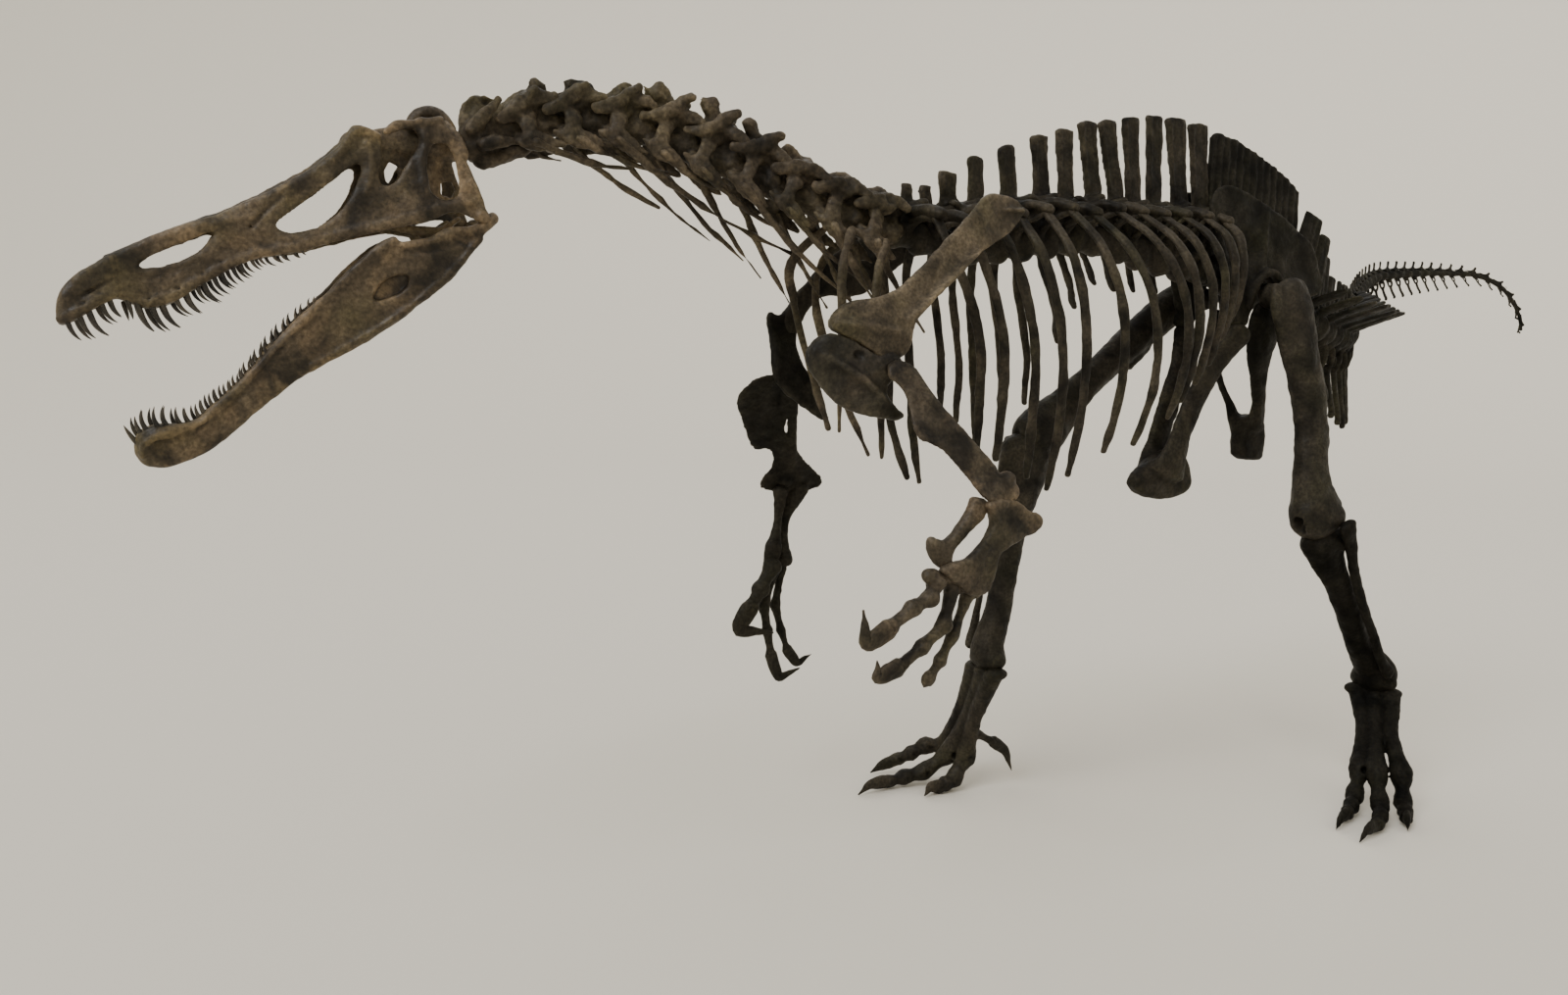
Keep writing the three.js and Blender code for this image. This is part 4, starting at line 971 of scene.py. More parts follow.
def make_neck():
    matrices, half = frames_along(NECK_ROUTE, NECK_COUNT)
    for number in range(2, NECK_COUNT + 1):
        piece = neck_vertebra(number, matrices[number - 1], half)
        if number == 2:
            piece.add(atlas(half, matrices[0]))
        for side in SIDES:
            if (number, side) in LONG_NECK_RIBS:
                piece.add(long_neck_rib(LONG_NECK_RIBS[number, side]))
        node = "cervical_1_2" if number == 2 else f"cervical_{number}"
        piece.finish(NECK, "head_bone", [node], rough=ROUGH["neck"])


ATLAS_CREST = [
    (-90, 20), (-62, 70), (-32, 116), (0, 138), (28, 138), (46, 130), (66, 116), (88, 106), (100, 50),
    (40, 10), (-50, 0),
]


def atlas(half, matrix):
    """The first neck vertebra, with the rough high crest behind the head."""
    clay = Clay((-125, -110, -135), (140, 110, 190), GRID["atlas"])
    clay.limb([(-48, 0, -4, 44, 46), (30, 0, -4, 42, 42), (half, 0, -6, 42, 42)])
    clay.limb([(-30, 0, 44, 38, 26), (60, 0, 52, 34, 28)], blend=14)
    clay.slab(
        rounded(ATLAS_CREST, 1), nothing, lambda x, z: 24 - 0.06 * np.maximum(0, z - 30) + 0 * x, edge=14,
        blend=12,
    )
    clay.limb([(-40, 0, -60, 34, 24), (40, 0, -70, 34, 26), (120, 0, -70, 28, 22)])
    for sign in (-1, 1):
        clay.limb([
            (-40, sign * 36, 34, 22, 20), (20, sign * 54, 66, 22, 16), (76, sign * 52, 92, 17, 14),
        ], up=ACROSS, blend=14)
        clay.limb([
            (-30, sign * 48, -14, 22, 20), (30, sign * 64, -30, 20, 14), (90, sign * 60, -52, 16, 10),
        ], up=ACROSS, blend=12)
        clay.ball((10, sign * 56, 14), (20, 16, 14), cut=True)
        clay.ball((-20, sign * 24, 104), (24, 10, 18), cut=True)
        clay.ball((48, sign * 22, 100), (14, 9, 14), cut=True)
    return clay.skin(matrix)


# How far behind its vertebra a rib starts, and its half width
RIB_ROOT = 40
RIB_WIDTH = {"left": 21.5, "right": 18.5}


def rib_rows(number, side, foot, centre_z):
    """One rib from its vertebra's side process outward, down and back to its end."""
    sign = SIDES[side]
    reach = RIB_REACH[number - 1]
    sweep, end_sweep = RIB_SWEEP[side][number - 1], RIB_END_SWEEP[side][number - 1]
    start = min(148, reach * 0.62)
    top = foot - 88
    fall = top - (RIB_END_HEIGHT[side][number - 1] - centre_z)
    wide = RIB_WIDTH[side]
    bow = sweep - RIB_ROOT
    shape = [
        (0.0, start, RIB_ROOT, 12, 0.95), (0.14, mix(start, reach, 0.66), RIB_ROOT + 0.16 * bow, 14, 1.0),
        (0.3, reach * 0.965, RIB_ROOT + 0.5 * bow, 14, 1.0), (0.45, reach, RIB_ROOT + 0.78 * bow, 13, 1.0),
        (0.6, reach * 0.985, RIB_ROOT + 0.95 * bow, 13, 1.0), (0.75, reach * 0.94, sweep, 12, 1.0),
        (0.9, reach * 0.88, mix(end_sweep, sweep, 0.45), 11, 0.95), (1.0, reach * 0.82, end_sweep, 9, 0.7),
    ]
    return [
        (float(x), sign * float(y), top - share * fall, thick, wide * w) for share, y, x, thick, w in shape
    ]


def back_vertebra(number, matrix, half):
    girth = 46 + 1.1 * number
    level = upright(matrix)
    centre_x, centre_z = level[0, 3], level[2, 3]
    foot_x, foot_z, top_x, top_z, foot_half, waist, top_half = BACK_SPINES[number - 1]
    foot = np.array((foot_x - centre_x, 0, foot_z - centre_z))
    top = np.array((top_x - centre_x, 0, top_z - centre_z))
    clay = Clay((-135, -215, -90), (135, 215, top[2] + 15), GRID["back"])
    clay.limb([
        (-half * 0.96, 0, 0, girth, girth * 1.1), (0, 0, -3, girth * 0.76, girth * 0.82),
        (half * 0.96, 0, 0, girth, girth * 1.1),
    ])
    for sign in (-1, 1):
        clay.ball((0, sign * girth * 0.86, 26), (half * 0.5, 12, 16), cut=True)
    arch = foot[2] - 48
    clay.limb([
        (-2, 0, 40, 42, half * 0.56), (0, 0, arch * 0.7, 30, half * 0.58),
        (foot[0] * 0.6, 0, arch, 22, half * 0.64),
    ], up=BACKWARD, blend=16)
    for sign in (-1, 1):
        clay.limb([
            (0, sign * 18, arch - 26, half * 0.7, 28), (26, sign * 88, arch - 8, half * 0.62, 22),
            (44, sign * 158, arch - 30, half * 0.46, 19),
        ], blend=18)
        clay.limb([
            (0, sign * 30, 34, 20, 14), (20, sign * 70, arch * 0.6, 15, 12),
            (34, sign * 120, arch - 36, 14, 12),
        ], up=BACKWARD, blend=14)
        clay.limb([
            (-half * 0.2, sign * 26, arch - 8, 22, 20), (-half * 1.05, sign * 34, arch + 10, 22, 16),
        ], blend=12)
        clay.limb([
            (half * 0.2, sign * 24, arch + 6, 22, 22), (half * 1.0, sign * 28, arch + 28, 20, 17),
        ], blend=12)
        clay.ball((-half * 0.35, sign * 46, arch * 0.55), (18, 18, 20), cut=True)
    clay.limb([
        (*(foot - (0, 0, 60)), 14, foot_half), (*(foot + (0, 0, 6)), 12, foot_half * 0.9),
        (*mix(foot, top, 0.45), 10, waist),
        (*mix(foot, top, 0.85), 11, mix(waist, top_half, 0.7)), (*(top - (0, 0, 13)), 13, top_half),
    ], up=BACKWARD)
    flute = top_half * 0.55
    for sign in (-1, 1):
        clay.limb([
            (*(foot + (-flute, sign * 12, 10)), 4, 5), (*(top + (-flute, sign * 12, -24)), 5, 6),
        ], blend=6)
        clay.limb([
            (*(foot + (flute, sign * 12, 10)), 4, 5), (*(top + (flute, sign * 12, -24)), 5, 6),
        ], blend=6)
    clay.slab(
        [
            (top[0] - 90, top[2] - 1), (top[0] + 90, top[2] - 1), (top[0] + 90, top[2] + 80),
            (top[0] - 90, top[2] + 80),
        ],
        nothing, even(90), cut=True, blend=7,
    )
    piece = Piece(f"back_bone_{number}")
    piece.add(clay.skin(level))
    for side, sign in SIDES.items():
        piece.add(loft(rib_rows(number, side, foot[2], centre_z), up=BACKWARD, sides=12, per=6), level)
        if number < BACK_COUNT:
            start = rib_rows(number, side, foot[2], centre_z)[0]
            piece.add(loft([
                (-6, sign * 42, 52, 12), (14, sign * 92, foot[2] * 0.42, 10), (*start[:3], 11),
            ], up=BACKWARD, sides=10), level)
    piece.finish(BODY, "body_bone", [f"dorsal_{number}"], rough=ROUGH["back"])


def make_back():
    matrices, half = frames_along(BACK_ROUTE, BACK_COUNT)
    for number in range(1, BACK_COUNT + 1):
        back_vertebra(number, matrices[number - 1], half)


# Upper edge of the sail over the hips, and the spacing of its flutes
SAIL_FLUTE = 45
SAIL_EDGE = [
    (-190, 2886), (-165, 2893), (-110, 2886), (-45, 2880), (15, 2864), (75, 2847), (140, 2823),
    (212, 2799), (285, 2766), (355, 2730), (392, 2708),
]


def make_sacrum():
    front, back = np.array(BACK_ROUTE[-1]), np.array(TAIL_ROUTE[0])
    clay = Clay((-260, -110, 2050), (410, 110, 2930), GRID["sacrum"])
    spots = [mix(front, back, share) for share in (0.03, 0.14, 0.26, 0.38, 0.5, 0.62, 0.74, 0.86, 0.97)]
    clay.limb(
        [(*spot, 54 if k % 2 == 0 else 42, 60 if k % 2 == 0 else 46) for k, spot in enumerate(spots)], per=3
    )
    edge = np.array(SAIL_EDGE, float)
    along = np.arange(-188, 393, SAIL_FLUTE / 4)
    notch = 5 * np.abs(np.sin(math.pi * (along + 200) / SAIL_FLUTE))
    crest = [(x, float(z)) for x, z in zip(along, np.interp(along, edge[:, 0], edge[:, 1]) - 5 + notch)]
    outline = [(-188, front[2] + 20), (-204, 2600), (-202, 2872)] + crest + [(392, back[2] + 60)]

    def thickness(x, z):
        flute = np.cos((x + 200) / SAIL_FLUTE * 2 * math.pi)
        return 13 + 4 * flute * np.clip((z - 2380) / 200, 0, 1) + np.maximum(0, 2430 - z) * 0.06

    clay.slab(outline, nothing, thickness, edge=7)
    for k in range(5):
        spot = mix(front, back, 0.1 + 0.2 * k)
        for sign in (-1, 1):
            clay.limb([
                (spot[0], sign * 20, spot[2] + 70, 34, 16), (spot[0], sign * 70, spot[2] + 62, 26, 18),
                (spot[0], sign * 88, spot[2] + 60, 30, 30),
            ])
    cast("sacrum_bone", clay, DARK, "dark_bone", ["sacrum"], ROUGH["sacrum"])


# Hips


ILIUM_OUTLINE = [
    (-298, 2640), (-190, 2662), (30, 2606), (230, 2522), (345, 2462), (400, 2352), (424, 2262),
    (325, 2222), (205, 2235), (158, 2160), (112, 2150), (84, 2256), (20, 2290), (-45, 2256), (-72, 2130),
    (-130, 2078), (-185, 2096), (-178, 2190), (-235, 2320), (-264, 2362), (-298, 2460), (-326, 2540),
]


def make_ilium(side):
    sign = SIDES[side]
    clay = Clay(
        (-380, min(90 * sign, 215 * sign), 2060), (440, max(90 * sign, 215 * sign), 2680), GRID["ilium"],
    )

    def middle(x, z):
        return sign * (134 - 22 * (z - 2215) / 400 + 0 * x)

    def half(x, z):
        ridges = 3 * np.cos(x / 38 + z / 160) * np.clip((z - 2420) / 150, 0, 1)
        return np.clip(13 + (2330 - z) * 0.06 + 0 * x, 12, 26) + ridges

    clay.slab(rounded(ILIUM_OUTLINE, 2), middle, half, edge=12)
    clay.limb([
        (-88, 156 * sign, 2160, 16, 18), (-62, 164 * sign, 2262, 18, 18), (20, 168 * sign, 2312, 20, 18),
        (96, 164 * sign, 2268, 18, 18), (136, 152 * sign, 2190, 16, 16),
    ], up=ACROSS, blend=14)
    clay.limb([
        (0, 142 * sign, 2330, 16, 18), (10, 130 * sign, 2450, 16, 14), (26, 120 * sign, 2560, 12, 10),
    ], up=ACROSS, blend=16)
    clay.limb([
        (-180, 138 * sign, 2180, 20, 20), (-240, 134 * sign, 2340, 16, 14),
        (-300, 124 * sign, 2500, 12, 10),
    ], up=ACROSS, blend=14)
    clay.ball((-136, 140 * sign, 2106), (54, 32, 34), blend=14)
    clay.ball((140, 140 * sign, 2180), (36, 28, 32), blend=14)
    clay.ball((-110, 136 * sign, 2400), (90, 14, 70), cut=True, blend=20)
    clay.ball((230, 138 * sign, 2370), (80, 12, 60), cut=True, blend=20)
    cast(f"ilium_bone_{side}", clay, DARK, "dark_bone", [f"ilium_{side}"], ROUGH["ilium"])


def make_pubes():
    clay = Clay((-610, -200, 1315), (-50, 200, 2100), GRID["pubes"])
    for side in SIDES:
        rows = [
            (-118, 140, 2046, 42, 66), (-155, 112, 1985, 30, 62), (-215, 86, 1890, 28, 56),
            (-288, 64, 1745, 26, 57), (-332, 58, 1640, 26, 58), (-358, 52, 1550, 28, 68),
            (-385, 40, 1455, 34, 96),
        ]
        clay.limb([mirrored(side, row) for row in rows], up=BACKWARD)
    boot = [
        (-576, 1432), (-560, 1380), (-490, 1350), (-370, 1336), (-262, 1350), (-212, 1392), (-216, 1450),
        (-262, 1540), (-340, 1560), (-450, 1520),
    ]
    clay.slab(rounded(boot, 2), nothing, even(36), edge=28, blend=14)
    clay.ball((-330, 0, 1500), (22, 30, 70), cut=True, blend=10)
    cast("pubis_bones", clay, LEG, "dark_bone", ["pubes"], ROUGH["pubis"])


def make_ischia():
    clay = Clay((-80, -200, 1500), (320, 200, 2190), GRID["ischia"])
    left = [
        (70, 140, 2135, 30, 104), (44, 136, 2070, 26, 110), (48, 122, 1990, 24, 84),
        (86, 92, 1880, 22, 52), (138, 62, 1763, 22, 40), (150, 40, 1650, 26, 52),
    ]
    right = [
        (96, 140, 2135, 28, 60), (60, 134, 2060, 22, 48), (36, 116, 1975, 18, 26), (52, 90, 1870, 16, 20),
        (88, 60, 1763, 17, 22), (136, 38, 1650, 24, 44),
    ]
    clay.limb([mirrored("left", row) for row in left], up=BACKWARD)
    clay.limb([mirrored("right", row) for row in right], up=BACKWARD)
    end = [
        (84, 1670), (80, 1560), (96, 1512), (212, 1500), (240, 1522), (240, 1660), (190, 1710),
        (124, 1710),
    ]
    clay.slab(rounded(end, 1), nothing, even(44), edge=30, blend=14)
    cast("ischium_bones", clay, DARK, "dark_bone", ["ischia"], ROUGH["ischium"])


# Tail

# The first tail vertebrae carry the sail's last plates
SAIL_TAIL = 4
# Grid step of the tail's bones up to each vertebra number
TAIL_GRID = ((8, 9), (12, 8), (24, 6.5), (TAIL_COUNT, 5.2))
# Slant of a chevron for its drop
CHEVRON_SLANT = 0.36


def tail_vertebra(piece, number, matrix, half):
    radius = float(np.interp(number, *TAIL_RADIUS))
    spine = float(np.interp(number, *TAIL_SPINE))
    wing = float(np.interp(number, *TAIL_WING))
    drop = float(np.interp(number, *TAIL_CHEVRON))
    deep = 84 if number == 0 else 60 if number < SAIL_TAIL else 6 + radius * 0.34
    lean = 0 if number < SAIL_TAIL else half * 0.3
    step = next(size for stop, size in TAIL_GRID if number < stop)
    span = max(radius * 1.15, wing + 30)
    clay = Clay(
        (-half - radius * 0.4 - 75, -span, -radius * 1.55),
        (half + radius * 0.9, span, max(spine, radius) + 30), step,
    )
    clay.limb([
        (-half * 0.92, 0, 0, radius * 0.9, radius * 0.95), (0, 0, 0, radius * 0.66, radius * 0.7),
        (half * 0.9, 0, 0, radius * 0.9, radius * 0.95),
    ], blend=4)
    clay.limb([
        (-half * 0.3, 0, radius * 0.9, radius * 0.4, radius * 0.5),
        (half * 0.5, 0, radius, radius * 0.34, radius * 0.45),
    ], blend=6)
    thin = max(4, radius * 0.11)
    front = 40 if number == 0 else 8
    if number < SAIL_TAIL:
        clay.limb([
            (0, 0, radius, thin * 1.3, deep * 0.8), (-front, 0, spine * 0.6, thin * 1.1, deep),
            (-front, 0, spine - 26, thin * 1.2, deep * 0.86),
        ], up=BACKWARD, blend=8)
        for ridge in (-30, 12):
            for sign in (-1, 1):
                clay.limb([
                    (ridge, sign * 9, radius * 1.4, 5, 7), (ridge, sign * 9, spine - 30, 5, 8),
                ], up=BACKWARD, blend=6)
    else:
        clay.limb([
            (0, 0, radius, thin * 1.2, deep), (lean, 0, max(spine * 0.6, radius * 1.1), thin, deep * 0.8),
            (lean * 1.6, 0, max(spine - 8, radius * 1.2), thin * 1.2, deep * 0.9),
        ], up=BACKWARD, blend=6)
    for sign in (-1, 1):
        clay.limb([
            (-half * 0.2, sign * radius * 0.35, radius * 1.1, radius * 0.2, radius * 0.2),
            (-half * 1.05, sign * radius * 0.42, radius * 1.25, radius * 0.16, radius * 0.14),
        ], blend=5)
        if wing > 30:
            clay.limb([
                (0, sign * radius * 0.5, radius * 0.55, 30, 17),
                (lean, sign * wing * 0.5, radius * 0.7 + wing * 0.1, 34, 12),
                (lean * 2, sign * wing * 0.85, radius * 0.7 + wing * 0.22, 36, 10),
                (lean * 2.4, sign * wing, radius * 0.7 + wing * 0.28, 24, 8),
            ], blend=8)
    thick = max(3.2, radius * 0.19)
    base = half * 0.95
    slant = CHEVRON_SLANT * drop
    if drop > radius * 0.5:
        clay.limb([
            (base * 0.55, 0, -radius * 0.8, radius * 0.5, radius * 0.5),
            (base * 0.8, 0, -radius * 1.1, radius * 0.36, radius * 0.36),
        ], blend=8)
    piece.add(clay.skin(matrix))
    if drop > radius * 0.5:
        for sign in (-1, 1):
            piece.add(loft([
                (base * 0.8, sign * radius * 0.34, -radius * 1.1, thick * 1.2),
                (base + 2, sign * radius * 0.36, -radius * 1.6, thick),
                (base + 8, sign * radius * 0.22, -radius * 2.1, thick),
                (base + 12, 0, -radius * 2.4, thick),
            ], up=BACKWARD, sides=8, per=3), matrix)
        piece.add(loft([
            (base + 10, 0, -radius * 2.2, thick * 1.2, thick * 1.5),
            (base + 10 + slant * 0.5, 0, -(radius * 2.2 + drop) * 0.5, thick, thick * 1.6),
            (base + 10 + slant, 0, -drop * 0.92, thick * 1.1, thick * 1.6),
            (base + 16 + slant, 0, -drop, thick * 1.2, thick * 2.1),
        ], up=BACKWARD, sides=8), matrix)


def make_tail():
    matrices, half = frames_along(TAIL_ROUTE, TAIL_COUNT)
    for section in range(TAIL_SECTIONS):
        piece = Piece(f"tail_bones_{section + 1}")
        for k in range(TAIL_PER_SECTION):
            number = section * TAIL_PER_SECTION + k
            tail_vertebra(piece, number, matrices[number], half)
        piece.finish(
            DARK, "dark_bone", [f"tail_{section + 1}"],
            rough=[(40, 2.4 if section < 6 else 1), (16, 1.2 if section < 6 else 0.5)],
        )


# Shoulders and arms

SHOULDER_LEAN = {"left": 0.17, "right": 0.05}
SHOULDER_CURL = {"left": 0.42, "right": 0.1}
SHOULDER_FRONT = -2120
FRONT_DRAWN_IN = {"left": 0.24, "right": 0}


BLADE_OUTLINE = {
    "left": [
        (-1635, 2445), (-1575, 2455), (-1490, 2445), (-1468, 2415), (-1482, 2370), (-1540, 2315),
        (-1645, 2258), (-1720, 2205), (-1805, 2135), (-1875, 2085), (-1955, 2028), (-1988, 1980),
        (-1998, 1890), (-2040, 1860), (-2100, 1850), (-2145, 1878), (-2185, 1900), (-2255, 1928),
        (-2312, 1950), (-2315, 1975), (-2290, 2005), (-2255, 2034), (-2205, 2048), (-2095, 2062),
        (-2020, 2098), (-1940, 2165), (-1845, 2250), (-1750, 2335), (-1685, 2390),
    ],
    "right": [
        (-2085, 2025), (-2050, 2065), (-2020, 2115), (-1990, 2140), (-1950, 2195), (-1900, 2255),
        (-1776, 2329), (-1660, 2400), (-1540, 2450), (-1475, 2455), (-1395, 2440), (-1368, 2415),
        (-1382, 2370), (-1440, 2315), (-1545, 2258), (-1640, 2190), (-1740, 2110), (-1910, 2115),
        (-1960, 2070), (-1995, 2025), (-2015, 1955), (-2070, 1960),
    ],
}

CORACOID_OUTLINE = {
    "left": [
        (-2385, 1905), (-2335, 1945), (-2255, 1935), (-2185, 1908), (-2140, 1880), (-2095, 1856),
        (-2055, 1815), (-2085, 1770), (-2055, 1722), (-2005, 1690), (-2010, 1676), (-2070, 1668),
        (-2150, 1680), (-2225, 1695), (-2285, 1725), (-2340, 1768), (-2382, 1828), (-2400, 1875),
    ],
    "right": [
        (-2145, 2020), (-2135, 2045), (-2115, 2035), (-2085, 2030), (-2050, 2065), (-2020, 2100),
        (-2000, 2035), (-2025, 1935), (-2020, 1905), (-1930, 1780), (-1885, 1700), (-1855, 1655),
        (-1865, 1640), (-1915, 1655), (-1985, 1700), (-2060, 1740), (-2105, 1795), (-2110, 1870),
        (-2105, 1925), (-2140, 1995),
    ],
}

BLADE_RIDGES = {
    "left": [
        [(-2290, 1968, 8, 12, 20), (-2200, 1962, 12, 15, 24), (-2060, 1950, 12, 15, 26)],
        [(-2010, 1990, 8, 16, 30), (-1900, 2078, 6, 15, 34), (-1700, 2240, 2, 10, 44)],
        [(-1560, 2395, 3, 8, 34), (-1490, 2400, 4, 9, 34)],
    ],
    "right": [
        [
            (-2060, 2000, 6, 12, 20), (-1960, 2095, 6, 13, 20), (-1700, 2270, 4, 11, 30),
            (-1480, 2380, 2, 9, 30),
        ],
    ],
}
CORACOID_RIDGES = {
    "left": [(-2330, 1860, 4, 14, 26), (-2200, 1800, 6, 15, 40), (-2080, 1720, 4, 12, 26)],
    "right": [(-2120, 1990, 4, 12, 18), (-2070, 1860, 6, 14, 26), (-1960, 1740, 4, 11, 20)],
}


def make_shoulder(side):
    sign = SIDES[side]
    reach = sorted((60 * sign, 400 * sign))

    def middle(x, z):
        lean = SHOULDER_LEAN[side] * np.maximum(0, z - 1950)
        curl = SHOULDER_CURL[side] * np.maximum(0, SHOULDER_FRONT - x)
        return sign * (343 - lean - curl)

    def drawn_in(x):
        return x + FRONT_DRAWN_IN[side] * max(0, SHOULDER_FRONT - x)

    def on_blade(x, z, out, w, h):
        x = drawn_in(x)
        return (x, float(middle(x, z)) + sign * out, z, w, h)

    clay = Clay((-2440, reach[0], 1640), (-1340, reach[1], 2480), GRID["shoulder"])
    outline = rounded([(drawn_in(x), z) for x, z in BLADE_OUTLINE[side]], 1)
    clay.slab(outline, middle, lambda x, z: 13 + 12 * np.exp(-((z - 1960) / 110) ** 2) + 0 * x, edge=12)
    for ridge in BLADE_RIDGES[side]:
        clay.limb([on_blade(*row) for row in ridge], up=ACROSS, blend=14)
    if side == "left":
        clay.ball(on_blade(-2040, 1850, 26, 0, 0)[:3], (48, 18, 36), cut=True)
    # The right blade's darker material is painted shade
    tone = BLADE_TONE_AND_SHADE[side]
    cast(f"shoulder_bone_{side}", clay, tone, "head_bone", [f"shoulder_blade_{side}"], ROUGH["shoulder"])

    clay = Clay((-2440, reach[0], 1600), (-1740, reach[1], 2140), GRID["coracoid"])
    outline = rounded([(drawn_in(x), z - 5) for x, z in CORACOID_OUTLINE[side]], 1)
    clay.slab(outline, middle, lambda x, z: 15 + 11 * np.exp(-((z - 1880) / 70) ** 2) + 0 * x, edge=13)
    clay.limb([on_blade(*row) for row in CORACOID_RIDGES[side]], up=ACROSS, blend=16)
    if side == "left":
        clay.ball(on_blade(-2210, 1870, 26, 0, 0)[:3], (20, 18, 14), cut=True)
        clay.ball(on_blade(-2072, 1842, 4, 0, 0)[:3], (50, 28, 46), blend=14)
    # The right coracoid's darker material is painted shade
    tone = CORACOID_TONE_AND_SHADE[side]
    cast(f"coracoid_bone_{side}", clay, tone, "head_bone", [], ROUGH["coracoid"])


def around(points, margin):
    points = np.array(points, float)
    return points.min(0) - margin, points.max(0) + margin


def shaft_bulge(start, end, base, extra, width):
    """Half thickness of a plate that is thick along the line from start to end and thin away from it."""
    start, end = np.array(start, float), np.array(end, float)
    run = end - start
    length = float(np.hypot(*run))

    def half(x, z):
        off = ((x - start[0]) * run[1] - (z - start[1]) * run[0]) / length
        return base + extra * np.exp(-(off / width) ** 2)

    return half


HUMERUS_OUTLINE = {
    "left": [
        (-2110, 1845), (-2055, 1865), (-2005, 1845), (-1974, 1785), (-1946, 1719), (-1898, 1647),
        (-1849, 1586), (-1799, 1535), (-1752, 1500), (-1690, 1478), (-1678, 1440), (-1730, 1412),
        (-1810, 1405), (-1848, 1430), (-1885, 1478), (-1925, 1535), (-1962, 1574), (-2000, 1588),
        (-2046, 1604), (-2068, 1646), (-2062, 1698), (-2060, 1742), (-2086, 1785), (-2120, 1798),
    ],
    "right": [
        (-2075, 1812), (-2142, 1800), (-2194, 1740), (-2192, 1690), (-2140, 1625), (-2072, 1535),
        (-2030, 1500), (-1970, 1515), (-1918, 1450), (-1960, 1375), (-1935, 1335), (-1815, 1318),
        (-1655, 1330), (-1636, 1380), (-1770, 1462), (-1896, 1550), (-1944, 1610), (-1936, 1700),
        (-1925, 1750), (-1945, 1800), (-1990, 1822),
    ],
}


def make_humerus(side):
    head, elbow = HUMERUS_HEAD[side], ELBOW[side]
    outline = rounded(HUMERUS_OUTLINE[side], 1)
    rate = (elbow[1] - head[1]) / (elbow[2] - head[2])

    def middle(x, z):
        return head[1] + (z - head[2]) * rate + 0 * x

    low = (outline[:, 0].min() - 20, min(head[1], elbow[1]) - 80, outline[:, 1].min() - 20)
    high = (outline[:, 0].max() + 20, max(head[1], elbow[1]) + 80, outline[:, 1].max() + 20)
    clay = Clay(low, high, GRID["humerus"])
    axis = shaft_bulge((head[0], head[2]), (elbow[0], elbow[2]), 9, 13, 42)
    clay.slab(outline, middle, axis, edge=20)

    def along(share, out, *sizes):
        x, y, z = mix(head, elbow, share)
        return (x, y + SIDES[side] * out, z, *sizes)

    clay.limb([
        along(0.02, 0, 22, 24), along(0.12, 0, 22, 26), along(0.5, 0, 20, 20), along(0.85, 0, 24, 22),
    ], up=(1, 0, 0.3), blend=12)
    for spread in (-34, 34):
        x, y, z = mix(head, elbow, 0.97)
        clay.ball((x + spread * 0.7, y, z + spread * 0.4), (26, 32, 26), blend=12)
    clay.ball(
        (
            *mix(head, elbow, 0.93)[:1], mix(head, elbow, 0.93)[1] + SIDES[side] * 44,
            mix(head, elbow, 0.93)[2],
        ),
        (30, 14, 24), cut=True,
    )
    cast(
        f"upper_arm_bone_{side}", clay, ARM_TONE_AND_SHADE[side], "body_bone", [f"humerus_{side}"],
        ROUGH["upper_arm"],
    )


FOREARM_OUTLINE = {
    "ulna": [
        (-1652, 1382), (-1610, 1376), (-1588, 1350), (-1606, 1316), (-1675, 1290), (-1740, 1262),
        (-1776, 1240), (-1782, 1200), (-1796, 1155), (-1812, 1118), (-1862, 1108), (-1912, 1130),
        (-1965, 1165), (-2010, 1200), (-1990, 1222), (-1935, 1228), (-1888, 1244), (-1850, 1278),
        (-1822, 1312), (-1806, 1345), (-1822, 1378), (-1838, 1412), (-1790, 1428), (-1725, 1424),
        (-1682, 1404),
    ],
    "radius": [
        (-1868, 1434), (-1815, 1424), (-1802, 1388), (-1828, 1352), (-1875, 1320), (-1920, 1280),
        (-1944, 1248), (-1948, 1220), (-1930, 1202), (-1966, 1192), (-2004, 1212), (-2034, 1248),
        (-2043, 1290), (-2030, 1310), (-2000, 1296), (-1966, 1296), (-1928, 1332), (-1890, 1380),
        (-1874, 1412),
    ],
}

FOREARM_RIGHT = {
    "ulna": [
        (-1750, 706, 1345, 34, 40), (-1776, 708, 1300, 30, 38), (-1814, 708, 1230, 20, 24),
        (-1826, 706, 1160, 18, 22), (-1828, 704, 1105, 24, 28), (-1808, 702, 1040, 26, 32),
    ],
    "radius": [
        (-1858, 680, 1330, 26, 34), (-1862, 680, 1290, 20, 26), (-1868, 680, 1220, 14, 18),
        (-1876, 682, 1150, 20, 24), (-1884, 684, 1095, 32, 38), (-1892, 686, 1050, 28, 32),
    ],
}

FOREARM_NAMES = {"ulna": "inner_arm_bone", "radius": "outer_arm_bone"}


def make_forearm(side):
    for node, name in FOREARM_NAMES.items():
        if side == "left":
            outline = rounded(FOREARM_OUTLINE[node], 1)
            deep = -572 if node == "ulna" else -545
            clay = Clay(
                (outline[:, 0].min(), deep - 50, outline[:, 1].min()),
                (outline[:, 0].max(), deep + 50, outline[:, 1].max()), GRID["forearm"],
            )
            clay.slab(outline, even(deep), even(22), edge=21)
            if node == "ulna":
                clay.ball((-1750, deep - 30, 1375), (44, 14, 30), cut=True, blend=16)
        else:
            rows = FOREARM_RIGHT[node]
            clay = Clay(*around([row[:3] for row in rows], 60), GRID["forearm"])
            clay.limb(rows, up=BACKWARD)
        piece = Piece(f"{name}_{side}")
        piece.add(clay.skin())
        piece.finish(ARM_TONE_AND_SHADE[side], "body_bone", [f"{node}_{side}"], rough=ROUGH["forearm"])


